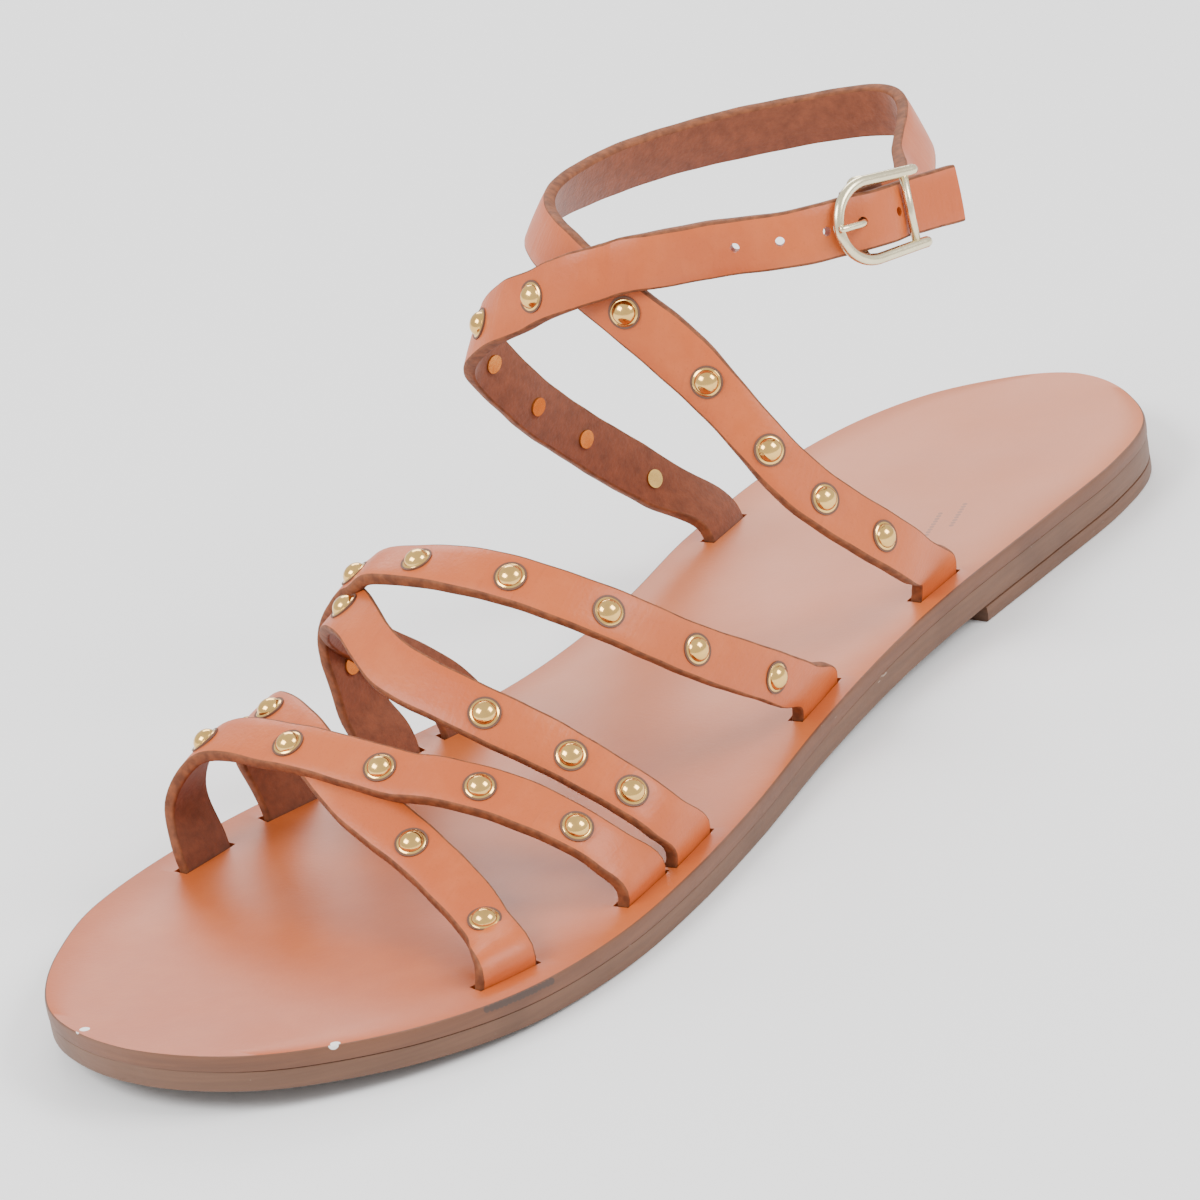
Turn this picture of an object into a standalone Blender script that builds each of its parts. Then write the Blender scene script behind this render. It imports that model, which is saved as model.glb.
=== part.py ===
"""Left strappy sandal: two-layer sole, three pairs of studded straps and an ankle buckle.

Frame: metres, +Z up, toe towards -Y, outer side of the foot towards +X, floor at Z = 0.
Stations run from the heel (0) to the toe (1) as shares of LENGTH.
"""
import math

import bmesh
import bpy
from mathutils import Matrix, Vector

MM = 0.001

# Sole
LENGTH = 255 * MM
BALL_WIDTH = 88 * MM
WAIST_WIDTH = 55 * MM
HEEL_WIDTH = 59 * MM
OUTLINE_SHIFT = 2.07 * MM
INSOLE_THICKNESS = 2.6 * MM
OUTSOLE_THICKNESS = 3.0 * MM
LIFT_THICKNESS = 2.4 * MM
HEEL_THICKENING = 1.0 * MM
TOE_SPRING = 4.3 * MM
EDGE_CHAMFER = 0.4 * MM
EDGE_STEP = 0.25 * MM
GAP = 0.3 * MM

# Stations of the side profile
HEEL_BREAST = 0.29
TREAD_START = 0.62
TREAD_END = 0.72

# Straps
STRAP_WIDTH = 8.4 * MM
ANKLE_STRAP_WIDTH = 9.0 * MM
STRAP_THICKNESS = 2.0 * MM
SKIVED_THICKNESS = 1.0 * MM
JOIN_DEPTH = 0.5 * MM
CROSSING_REACH = 24 * MM
SETTLE = 1.5 * MM
TAIL_LENGTH = 8.0 * MM
ROW_PITCH = 4.5 * MM
SHOULDER_RISE = 1.2 * MM
SHOULDER_BULGE = 0.3 * MM
TOE_ARCH = 21 * MM
INSTEP_ARCH = 38 * MM
ANKLE_RISE = 70 * MM
FOOT_WIDTH = 88 * MM

# Studs
STUD_DIAMETER = 4.9 * MM
STUD_DOME = 1.5 * MM
STUD_RIM = 0.5 * MM
POST_DIAMETER = 1.5 * MM
BACK_DIAMETER = 3.2 * MM
BACK_THICKNESS = 0.5 * MM

# Buckle, along the strap from its centre bar
BUCKLE_STATION = 0.341
BUCKLE_SIDE = 22.7 * MM
BUCKLE_RISE = 0.987
BUCKLE_TURN = math.radians(11)
BUCKLE_DROP = math.radians(8.5)
BUCKLE_LEAN = math.radians(13)
FRAME_REACH = 7.7 * MM
ARM_OVERRUN = 2.2 * MM
FRAME_OPENING = 9.8 * MM
FRAME_FRONT_OPENING = 10.6 * MM
FRAME_WIRE = 1.8 * MM
BACK_BAR = 1.4 * MM
CENTRE_BAR = 1.6 * MM
FRAME_LIFT = 6.2 * MM
PRONG_WIRE = 1.1 * MM
PRONG_HOLE = 1.8 * MM
HOLE_DIAMETER = 1.5 * MM
HOLE_PITCH = 6.8 * MM
HOLES_IN_FRONT = 3
FOLD_TAB = 5.5 * MM
FOLD_SHIFT = 0.5 * MM

OUTER, INNER = 1, -1

# Outline of the sole: station, width that the row follows, outer edge and inner edge
# as shares of half that width.
OUTLINE = [
    ("station", "width", "outer", "inner"),
    (0.00, HEEL_WIDTH, -0.01, 0.01),
    (0.02, HEEL_WIDTH, 0.45, 0.43),
    (0.06, HEEL_WIDTH, 0.78, 0.76),
    (0.12, HEEL_WIDTH, 0.91, 0.97),
    (0.20, HEEL_WIDTH, 0.94, 1.05),
    (0.30, WAIST_WIDTH, 1.03, 1.06),
    (0.40, WAIST_WIDTH, 1.07, 0.93),
    (0.50, WAIST_WIDTH, 1.18, 0.99),
    (0.60, BALL_WIDTH, 0.85, 0.805),
    (0.68, BALL_WIDTH, 0.927, 0.97),
    (0.76, BALL_WIDTH, 0.96, 1.05),
    (0.84, BALL_WIDTH, 0.91, 1.025),
    (0.90, BALL_WIDTH, 0.77, 0.89),
    (0.95, BALL_WIDTH, 0.555, 0.70),
    (0.98, BALL_WIDTH, 0.35, 0.505),
    (1.00, BALL_WIDTH, -0.08, 0.08),
]

# Slots of the insole: strap, side, station, distance of the slot's middle from the edge, and
# width of the strap where it passes through
SLOTS = [
    ("strap", "side", "station", "inset", "mouth"),
    ("toe", OUTER, 0.837, 6.9 * MM, 10.6 * MM),
    ("toe", INNER, 0.680, 6.0 * MM, 10.2 * MM),
    ("ball", OUTER, 0.707, 5.6 * MM, 11.4 * MM),
    ("ball", INNER, 0.760, 7.2 * MM, 10.2 * MM),
    ("front_instep", OUTER, 0.653, 4.9 * MM, 12.0 * MM),
    ("front_instep", INNER, 0.551, 5.0 * MM, 10.2 * MM),
    ("rear_instep", OUTER, 0.468, 4.9 * MM, 12.8 * MM),
    ("rear_instep", INNER, 0.607, 5.4 * MM, 10.2 * MM),
    ("heel_side", OUTER, 0.319, 4.6 * MM, 11.2 * MM),
    ("closing", INNER, 0.285, 5.0 * MM, 10.2 * MM),
]

# Routes of the straps over the foot, from the first slot to the last: station, side as a
# share of half FOOT_WIDTH, rise over the ball of the insole as a share of the strap's own
# arch height, and lean of the surface towards the toe in degrees. The ankle straps also have
# a flare, the turn of their lower edge towards the outer side in degrees.
TOE_ROUTE = [
    ("station", "side", "rise", "lean"),
    (0.810, 0.61, 0.188, 10),
    (0.785, 0.29, 0.45, 23),
    (0.766, -0.13, 0.79, 27),
    (0.743, -0.40, 0.98, 23),
    (0.718, -0.68, 0.97, 12),
    (0.696, -0.88, 0.56, 5),
]
BALL_ROUTE = [
    ("station", "side", "rise", "lean"),
    (0.720, 0.75, 0.31, 11),
    (0.735, 0.47, 0.69, 19),
    (0.754, 0.05, 0.93, 26),
    (0.757, -0.40, 1.02, 22),
    (0.753, -0.79, 0.87, 13),
    (0.756, -0.93, 0.45, 5),
]
FRONT_INSTEP_ROUTE = [
    ("station", "side", "rise", "lean"),
    (0.675, 0.78, 0.198, 13),
    (0.690, 0.47, 0.47, 33),
    (0.704, 0.16, 0.67, 38),
    (0.699, -0.17, 0.78, 31),
    (0.667, -0.46, 0.86, 19),
    (0.622, -0.73, 0.62, 5),
]
REAR_INSTEP_ROUTE = [
    ("station", "side", "rise", "lean"),
    (0.506, 0.65, 0.24, 15),
    (0.579, 0.58, 0.60, 25),
    (0.622, 0.40, 0.88, 29),
    (0.639, 0.10, 1.02, 26),
    (0.643, -0.26, 1.03, 14),
    (0.636, -0.61, 0.91, 2),
    (0.622, -0.78, 0.56, -1),
]
HEEL_SIDE_ROUTE = [
    ("station", "side", "rise", "lean", "flare"),
    (0.370, 0.67, 0.211, 27, 9),
    (0.431, 0.48, 0.494, 43, 1),
    (0.442, 0.21, 0.748, 64, -10),
    (0.446, -0.25, 0.987, 71, -19),
    (0.397, -0.60, 1.005, 76, -29),
    (0.309, -0.72, 0.976, 88, -22),
    (0.204, -0.44, 0.957, 94, -14),
    (0.163, -0.01, 0.968, 101, 8),
    (0.246, 0.39, 0.960, 97, 26),
]
CLOSING_ROUTE = [
    ("station", "side", "rise", "lean", "flare"),
    (0.313, -0.68, 0.21, 25, 0),
    (0.365, -0.75, 0.40, 40, -5),
    (0.416, -0.75, 0.59, 50, -8),
    (0.451, -0.73, 0.771, 60, -10),
    (0.467, -0.49, 0.899, 65, -10),
    (0.469, -0.22, 0.984, 78, -5),
    (0.416, 0.22, 1.017, 87, 3),
]
# Closing strap through the buckle: reach as a share of FRAME_REACH and lift as a share of
# FRAME_LIFT, from in front of the frame to the strap's tip
CLOSING_END = [
    ("reach", "lift"),
    (-1.45, 0.254),
    (-1.00, 0.425),
    (-0.68, 0.49),
    (-0.33, 0.60),
    (0.00, 0.75),
    (0.33, 0.745),
    (0.70, 0.615),
    (1.00, 0.49),
    (1.40, 0.45),
    (2.60, 0.51),
]

# Studs of each strap, as shares of the way from its first slot
STUDS = {
    "toe": (0.105, 0.306, 0.71, 0.85),
    "ball": (0.136, 0.29, 0.453, 0.618, 0.79),
    "front_instep": (0.12, 0.205, 0.322, 0.615, 0.85),
    "rear_instep": (0.138, 0.262, 0.376, 0.485, 0.605, 0.715, 0.87),
    "heel_side": (0.11, 0.158, 0.204, 0.259, 0.324),
    "closing": (0.102, 0.208, 0.295, 0.38, 0.456, 0.54),
}

TAN_LEATHER = ("tan leather", (0.72, 0.30, 0.15), 0.5, 0.0)
INSOLE_LEATHER = ("insole leather", (0.68, 0.29, 0.14), 0.4, 0.0)
SOLE_RUBBER = ("brown sole", (0.30, 0.17, 0.12), 0.6, 0.0)
PALE_BRASS = ("pale brass", (0.85, 0.72, 0.42), 0.2, 1.0)


def clear_scene():
    for item in list(bpy.data.objects):
        bpy.data.objects.remove(item, do_unlink=True)


def new_collection(name):
    collection = bpy.data.collections.new(name)
    bpy.context.scene.collection.children.link(collection)
    return collection


def material(look):
    name, colour, roughness, metallic = look
    found = bpy.data.materials.get(name)
    if found:
        return found
    made = bpy.data.materials.new(name)
    made.use_nodes = True
    shader = made.node_tree.nodes["Principled BSDF"]
    shader.inputs["Base Color"].default_value = (*colour, 1.0)
    shader.inputs["Roughness"].default_value = roughness
    shader.inputs["Metallic"].default_value = metallic
    return made


def add_object(name, bm, look, collection):
    """Turn a closed bmesh into a named object with its faces out."""
    bmesh.ops.recalc_face_normals(bm, faces=bm.faces)
    mesh = bpy.data.meshes.new(name)
    bm.to_mesh(mesh)
    bm.free()
    made = bpy.data.objects.new(name, mesh)
    collection.objects.link(made)
    if look:
        mesh.materials.append(material(look))
    return made


def spline(times, values, rows):
    """Smooth curve through values set at times, with the given number of rows in each stretch."""
    slopes = [(after - before) / (end - start)
              for start, end, before, after in zip(times, times[1:], values, values[1:])]
    spans = [end - start for start, end in zip(times, times[1:])]
    turns = [slopes[0]]
    for index in range(len(slopes) - 1):
        whole = spans[index] + spans[index + 1]
        turns.append((slopes[index] * spans[index + 1] + slopes[index + 1] * spans[index]) / whole)
    turns.append(slopes[-1])
    points = []
    for index, count in enumerate(rows):
        low, high = values[index], values[index + 1]
        for row in range(count):
            t = row / count
            points.append(low * (2 * t ** 3 - 3 * t ** 2 + 1) + high * (3 * t ** 2 - 2 * t ** 3)
                          + turns[index] * (spans[index] * (t ** 3 - 2 * t ** 2 + t))
                          + turns[index + 1] * (spans[index] * (t ** 3 - t ** 2)))
    points.append(values[-1])
    return points


def smooth_step(value):
    value = min(max(value, 0.0), 1.0)
    return value * value * (3 - 2 * value)


# Sole form

def heel_slope(station):
    return smooth_step((TREAD_START - station) / (TREAD_START - HEEL_BREAST))


def outsole_bottom(station):
    """Height of the outsole's underside: on the lift at the heel, down at the tread, up at the toe."""
    spring = max(station - TREAD_END, 0.0) / (1 - TREAD_END)
    return (LIFT_THICKNESS + GAP) * heel_slope(station) + TOE_SPRING * spring ** 2


def outsole_top(station):
    return outsole_bottom(station) + OUTSOLE_THICKNESS + HEEL_THICKENING * heel_slope(station)


def insole_bottom(station):
    return outsole_top(station) + GAP


def insole_top(station):
    return insole_bottom(station) + INSOLE_THICKNESS


BED = OUTSOLE_THICKNESS + GAP + INSOLE_THICKNESS


def turn_of(station):
    """Angle that spreads the stations evenly round the ends of the outline."""
    return math.acos(min(max(1 - 2 * station, -1.0), 1.0))


def edges(station):
    """Outer and inner edge of the sole at a station, from the outline's rows."""
    rows = [Vector((turn_of(s), width / 2 * outer, -width / 2 * inner))
            for s, width, outer, inner in OUTLINE[1:]]
    turn = turn_of(station)
    index = max(i for i in range(len(rows) - 1) if rows[i].x <= turn or i == 0)
    low, high = rows[index], rows[index + 1]
    before = rows[index - 1] if index else Vector((-rows[1].x, low.y * 2 - high.y, low.z * 2 - high.z))
    beyond = rows[index + 2] if index + 2 < len(rows) else high * 2 - low
    span = high.x - low.x
    t = (turn - low.x) / span
    start = (high - before) / (high.x - before.x) * span
    end = (beyond - low) / (beyond.x - low.x) * span
    value = (low * (2 * t ** 3 - 3 * t ** 2 + 1) + start * (t ** 3 - 2 * t ** 2 + t)
             + high * (3 * t ** 2 - 2 * t ** 3) + end * (t ** 3 - t ** 2))
    return value.y, value.z


def place(station, x, z):
    """Point at a station, with the middle of the sole's widest outline over the origin."""
    return Vector((x + OUTLINE_SHIFT, LENGTH * (0.5 - station), z))


def edge_direction(station, side):
    """Direction along the sole's edge, towards the toe."""
    reach = 0.02
    pick = 0 if side == OUTER else 1
    rear, fore = station - reach, station + reach
    back = place(rear, edges(rear)[pick], insole_bottom(rear))
    front = place(fore, edges(fore)[pick], insole_bottom(fore))
    return (front - back).normalized()


def sole_layer(name, low, high, first, last, sections, step, look, collection):
    """Loft one layer of the sole from station first to station last."""
    start, end = turn_of(first), turn_of(last)
    bm = bmesh.new()
    rings = []
    for index in range(sections + 1):
        station = (1 - math.cos(start + (end - start) * index / sections)) / 2
        outer, inner = edges(station)
        outer, inner = outer - step, inner + step
        middle = (outer + inner) / 2
        half = max((outer - inner) / 2, 2 * EDGE_CHAMFER)
        bottom, top = low(station), high(station)
        profile = [(half - EDGE_CHAMFER, bottom), (half, bottom + EDGE_CHAMFER),
                   (half, top - EDGE_CHAMFER), (half - EDGE_CHAMFER, top)]
        profile += [(-x, z) for x, z in reversed(profile)]
        rings.append([bm.verts.new(place(station, middle + x, z)) for x, z in profile])
    for back, front in zip(rings, rings[1:]):
        for index in range(len(back)):
            after = (index + 1) % len(back)
            bm.faces.new((back[index], back[after], front[after], front[index]))
    bm.faces.new(rings[0])
    bm.faces.new(list(reversed(rings[-1])))
    return add_object(name, bm, look, collection)


# Straps

class Knot:
    """One row of a strap: point of its inner face, direction across it, half width, thickness."""

    def __init__(self, point, across, half=None, thickness=STRAP_THICKNESS):
        self.point = point
        self.across = across
        self.half = half
        self.thickness = thickness


def basis(origin, x_axis, y_axis, z_axis):
    made = Matrix((x_axis, y_axis, z_axis)).transposed().to_4x4()
    made.translation = origin
    return made


def slot_frame(strap, side):
    """Matrix of a slot on the insole's top: X out of the foot, Y to the toe, Z up from the insole."""
    for name, slot_side, station, inset, _ in SLOTS[1:]:
        if name == strap and slot_side == side:
            along = edge_direction(station, side)
            level = Vector((-along.y, along.x, 0)).normalized() * side
            slope = (insole_top(station - 0.02) - insole_top(station + 0.02)) / (0.04 * LENGTH)
            up = Vector((0, -slope, 1)).normalized()
            outward = (level - up * level.dot(up)).normalized()
            along = (along - outward * along.dot(outward)).normalized()
            edge = place(station, edges(station)[0 if side == OUTER else 1], insole_top(station))
            return basis(edge - outward * inset, outward, along, up)
    raise ValueError(strap)


def mouth_width(strap, side):
    return [mouth for name, slot_side, _, _, mouth in SLOTS[1:] if name == strap and slot_side == side][0]


def ruling(lean, flare=0.0):
    """Direction across a strap: towards the toe where it lies flat, down where it stands up."""
    lean, flare = math.radians(lean), math.radians(flare)
    return Vector((math.sin(flare), -math.cos(lean) * math.cos(flare), -math.sin(lean) * math.cos(flare)))


def route_knots(route, arch):
    return [Knot(place(station, side * FOOT_WIDTH / 2, BED + rise * arch), ruling(lean, *flare))
            for station, side, rise, lean, *flare in route[1:]]


def slot_knots(strap, side):
    """Knots of a strap's end: its folded tail under the insole, then its rise through the slot."""
    slot = slot_frame(strap, side)
    across = slot.col[1].to_3d()
    half = mouth_width(strap, side) / 2
    inner = -STRAP_THICKNESS / 2

    def knot(out, up, thickness=STRAP_THICKNESS):
        return Knot(slot @ Vector((out, 0, up)), across, half, thickness)

    fold = -INSOLE_THICKNESS - GAP
    hidden = [knot(inner - TAIL_LENGTH, fold, SKIVED_THICKNESS), knot(inner, fold, SKIVED_THICKNESS),
              knot(inner, -INSOLE_THICKNESS)]
    return hidden, [knot(inner, 0), knot(inner + SHOULDER_BULGE, SHOULDER_RISE)]


class Strap:
    """A flat strap lofted through knots, with its free part between two hidden tails."""

    def __init__(self, side, knots, width, start=(), end=()):
        self.side = side
        self.set_widths(knots, width)
        spans = [(b.point - a.point).length for a, b in zip(knots, knots[1:])]
        times = [sum(spans[:index]) for index in range(len(knots))]
        rows = [max(1, round(span / ROW_PITCH)) for span in spans]
        middle = [spline(times, values, rows) for values in ([knot.point for knot in knots],
                                                             [knot.across * knot.half for knot in knots],
                                                             [knot.thickness for knot in knots])]
        ends = ([knot.point for knot in start], [knot.across * knot.half for knot in start],
                [knot.thickness for knot in start])
        tails = ([knot.point for knot in end], [knot.across * knot.half for knot in end],
                 [knot.thickness for knot in end])
        self.line, self.across, self.thickness = (a + b + c for a, b, c in zip(ends, middle, tails))
        self.first = len(start)
        self.last = len(self.line) - 1 - len(end)
        self.set_normals()

    def set_widths(self, knots, width):
        """Widen the rows that run askew, so that the strap keeps its own width."""
        for back, knot, front in zip(knots[:1] + knots, knots, knots[1:] + knots[-1:]):
            if knot.half is None:
                way = (front.point - back.point).normalized()
                square = (knot.across - way * knot.across.dot(way)).length
                knot.half = width / 2 / square

    def set_normals(self):
        self.normals = []
        for index, here in enumerate(self.line):
            way = Vector()
            if index:
                way += (here - self.line[index - 1]).normalized()
            if index < len(self.line) - 1:
                way += (self.line[index + 1] - here).normalized()
            self.normals.append(way.cross(self.across[index]).normalized() * self.side)

    def rest_on(self, under):
        """Lay the strap on another one where they cross, sunk by JOIN_DEPTH so that they join."""
        free = range(self.first, self.last + 1)
        whole = under.length_to(under.last)
        below = [j for j in range(under.first, under.last) if under.length_to(j) < 0.8 * whole]
        gap, crossing = min(((self.line[i] - under.line[j]).length, i) for i in free for j in below)
        middle = self.length_to(crossing)
        for index in free:
            point = self.line[index]
            near = min(below, key=lambda j: (under.line[j] - point).length)
            normal = under.normals[near]
            away = point - (under.line[near] + normal * STRAP_THICKNESS)
            aside = abs(away.dot(under.across[near].normalized())) / STRAP_WIDTH
            along = abs(self.length_to(index) - middle) / CROSSING_REACH
            ends = min(self.length_to(index), self.length_to(self.last) - self.length_to(index))
            share = (smooth_step(1.9 - 1.3 * aside) * smooth_step(3 - 3 * along)
                     * smooth_step(ends / STRAP_WIDTH - 0.5))
            drop = min(max(away.dot(normal) + JOIN_DEPTH, -SETTLE), SETTLE)
            self.line[index] = point - normal * drop * share
            flat = self.across[index] - normal * self.across[index].dot(normal)
            self.across[index] = self.across[index].lerp(flat, share)
        self.set_normals()

    def build(self, name, look, collection):
        bm = bmesh.new()
        rings = []
        for point, half, normal, depth in zip(self.line, self.across, self.normals, self.thickness):
            face = point + normal * depth
            rings.append([bm.verts.new(at) for at in (point - half, point + half, face + half, face - half)])
        for back, front in zip(rings, rings[1:]):
            for index in range(4):
                after = (index + 1) % 4
                bm.faces.new((back[index], back[after], front[after], front[index]))
        bm.faces.new(rings[0])
        bm.faces.new(list(reversed(rings[-1])))
        return add_object(name, bm, look, collection)

    def length_to(self, index):
        pairs = zip(self.line[self.first:index], self.line[self.first + 1:index + 1])
        return sum((b - a).length for a, b in pairs)

    def frame_at(self, distance):
        """Matrix on the inner face at a distance from the first slot: X along, Y across, Z outward."""
        index = self.first
        while index < self.last - 1 and self.length_to(index + 1) < distance:
            index += 1
        here, there = self.line[index], self.line[index + 1]
        share = (distance - self.length_to(index)) / (there - here).length
        normal = self.normals[index].lerp(self.normals[index + 1], share).normalized()
        way = (there - here).normalized()
        way = (way - normal * way.dot(normal)).normalized()
        return basis(here.lerp(there, share), way, normal.cross(way), normal)

    def reaches(self, point):
        """Whether a rivet of a strap on top of this one would stand on it too."""
        near = min(range(len(self.line)), key=lambda j: (self.line[j] - point).length)
        away = point - self.line[near]
        aside = abs(away.dot(self.across[near].normalized()))
        return (aside < (STRAP_WIDTH + BACK_DIAMETER) / 2 + GAP
                and 0 < away.dot(self.normals[near]) < 2 * STRAP_THICKNESS)

    def stud_frames(self, shares):
        whole = self.length_to(self.last)
        return [self.frame_at(share * whole) for share in shares]

    def distance_near(self, point):
        """Distance from the first slot to the spot nearest to a point."""
        whole = self.length_to(self.last)
        return min((whole * step / 400 for step in range(401)),
                   key=lambda distance: (self.frame_at(distance).translation - point).length)


def slotted_strap(name, route, arch):
    """A strap with both ends in slots, from the outer side to the inner side."""
    start, rise = slot_knots(name, OUTER)
    end, fall = slot_knots(name, INNER)
    knots = rise + route_knots(route, arch) + fall[::-1]
    return Strap(OUTER, knots, STRAP_WIDTH, start, end[::-1])


# Buckle: reach runs along the strap to the heel, lift outward, height upward

def buckle_axes():
    """Along the strap to the heel, outward and upward, for a frame that leans in at its top."""
    along = Vector((math.sin(BUCKLE_TURN) * math.cos(BUCKLE_DROP),
                    math.cos(BUCKLE_TURN) * math.cos(BUCKLE_DROP),
                    -math.sin(BUCKLE_DROP)))
    level = Vector((math.cos(BUCKLE_TURN), -math.sin(BUCKLE_TURN), 0))
    outward = level * math.cos(BUCKLE_LEAN) + level.cross(along) * math.sin(BUCKLE_LEAN)
    return along, outward, outward.cross(along)


def buckle_point(reach, lift, height=0.0):
    along, outward, up = buckle_axes()
    origin = place(BUCKLE_STATION, BUCKLE_SIDE, BED + BUCKLE_RISE * ANKLE_RISE)
    return origin + along * reach + outward * lift + up * height


LOOP_RADIUS = CENTRE_BAR / 2 + GAP + SKIVED_THICKNESS
ARM_HEIGHT = FRAME_OPENING / 2 + FRAME_WIRE / 2
FRONT_HEIGHT = FRAME_FRONT_OPENING / 2 + FRAME_WIRE / 2


def heel_side_strap():
    """Strap from the outer slot, over the instep and round the heel, folded over the centre bar."""
    start, rise = slot_knots("heel_side", OUTER)
    down = -buckle_axes()[2]
    half = ANKLE_STRAP_WIDTH / 2
    knots = rise + route_knots(HEEL_SIDE_ROUTE, ANKLE_RISE)
    knots.append(Knot(buckle_point(1.1 * FRAME_REACH, 0, FOLD_SHIFT), down, half))
    knots.append(Knot(buckle_point(1.6 * LOOP_RADIUS, 0, FOLD_SHIFT), down, half, SKIVED_THICKNESS))
    for turn in (math.radians(30 * index) for index in range(7)):
        reach, lift = -LOOP_RADIUS * math.sin(turn), LOOP_RADIUS * (1 - math.cos(turn))
        knots.append(Knot(buckle_point(reach, lift, FOLD_SHIFT), down, half, SKIVED_THICKNESS))
    sink = 2 * LOOP_RADIUS - STRAP_THICKNESS - SKIVED_THICKNESS - GAP
    for share in (0.4, 1.0):
        lift = 2 * LOOP_RADIUS - sink * share ** 2
        knots.append(Knot(buckle_point(share * FOLD_TAB, lift, FOLD_SHIFT), down, half, SKIVED_THICKNESS))
    return Strap(OUTER, knots, ANKLE_STRAP_WIDTH, start)


def closing_strap():
    """Strap from the inner slot, over the heel strap and through the buckle to its free tip."""
    start, rise = slot_knots("closing", INNER)
    down = -buckle_axes()[2]
    knots = rise + route_knots(CLOSING_ROUTE, ANKLE_RISE)
    for reach, lift in CLOSING_END[1:]:
        knots.append(Knot(buckle_point(reach * FRAME_REACH, lift * FRAME_LIFT), down,
                          ANKLE_STRAP_WIDTH / 2))
    return Strap(INNER, knots, ANKLE_STRAP_WIDTH, start)


# Cutters

def add_cylinder(bm, at, radius, low, high, segments=8):
    middle = at @ Matrix.Translation((0, 0, (low + high) / 2))
    bmesh.ops.create_cone(bm, cap_ends=True, segments=segments, radius1=radius, radius2=radius,
                          depth=high - low, matrix=middle)


def add_box(bm, at, low, high):
    size = Matrix.Diagonal([b - a for a, b in zip(low, high)] + [1])
    middle = Matrix.Translation([(a + b) / 2 for a, b in zip(low, high)])
    bmesh.ops.create_cube(bm, size=1, matrix=at @ middle @ size)


def combine(target, operation, other):
    other.hide_render = True
    other.display_type = "WIRE"
    modifier = target.modifiers.new(other.name, "BOOLEAN")
    modifier.operation = operation
    modifier.object = other


def cut_slots(insole, outsole):
    """Slots through the insole and, under each, a pocket in the outsole for the folded tail."""
    wide = STRAP_THICKNESS / 2 + GAP
    floor = INSOLE_THICKNESS + GAP + SKIVED_THICKNESS + GAP
    for group, names in (("front", ("toe", "front_instep", "heel_side")),
                         ("rear", ("ball", "rear_instep", "closing"))):
        slots, pockets = bmesh.new(), bmesh.new()
        for strap, side, _, _, mouth in SLOTS[1:]:
            if strap in names:
                at = slot_frame(strap, side)
                long = mouth / 2 + GAP
                add_box(slots, at, (-wide, -long, -1.5 * INSOLE_THICKNESS), (wide, long, INSOLE_THICKNESS))
                add_box(pockets, at, (-wide - TAIL_LENGTH, -long, -floor),
                        (wide, long, -INSOLE_THICKNESS / 2))
        combine(insole, "DIFFERENCE", add_object(group + "_slots", slots, None, cutters))
        combine(outsole, "DIFFERENCE", add_object(group + "_pockets", pockets, None, cutters))


def cut_fold_slit(strap):
    """Slit through both layers of the heel strap's fold, for the ring of the prong."""
    along, outward, up = buckle_axes()
    reach = LOOP_RADIUS + GAP
    half = PRONG_WIRE / 2 + GAP
    slit = bmesh.new()
    add_box(slit, basis(buckle_point(0, 0), along, up, outward),
            (-reach, -half, -GAP), (reach, half, 2 * LOOP_RADIUS + GAP / 2))
    combine(strap, "DIFFERENCE", add_object("fold_slit", slit, None, cutters))


def punch_holes(bm, strap):
    """Round holes of the closing strap; returns the matrix of the one that holds the prong."""
    prong = strap.distance_near(buckle_point(-PRONG_HOLE, 0.6 * FRAME_LIFT))
    for number in range(-HOLES_IN_FRONT, 2):
        radius = HOLE_DIAMETER / 2 if number else PRONG_WIRE / 2 + 1.3 * GAP
        at = strap.frame_at(prong + number * HOLE_PITCH)
        add_cylinder(bm, at, radius, -GAP, STRAP_THICKNESS + GAP)
    return strap.frame_at(prong)


# Studs

def stud_mesh(name, layers):
    """Half section of a rivet through one or two straps, from its dome down to its back cap."""
    edge = STUD_DIAMETER / 2
    cap = STRAP_THICKNESS + GAP
    back = -GAP - (layers - 1) * STRAP_THICKNESS
    outline = [(0, cap + STUD_DOME), (0.55 * edge, cap + 0.82 * STUD_DOME), (0.9 * edge, cap + STUD_RIM),
               (edge, cap), (POST_DIAMETER / 2, cap), (POST_DIAMETER / 2, back),
               (BACK_DIAMETER / 2, back), (0.4 * BACK_DIAMETER, back - BACK_THICKNESS),
               (0, back - BACK_THICKNESS)]
    mesh = bpy.data.meshes.new(name)
    links = [(index, index + 1) for index in range(len(outline) - 1)]
    mesh.from_pydata([(x, 0, z) for x, z in outline], links, [])
    mesh.materials.append(material(PALE_BRASS))
    return mesh


def add_stud(name, mesh, at):
    made = bpy.data.objects.new(name, mesh)
    parts.objects.link(made)
    made.matrix_world = at
    screw = made.modifiers.new("turn", "SCREW")
    screw.steps = screw.render_steps = 8
    screw.use_merge_vertices = True
    screw.merge_threshold = 0.00001
    screw.use_smooth_shade = True


# Wire pieces

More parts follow.
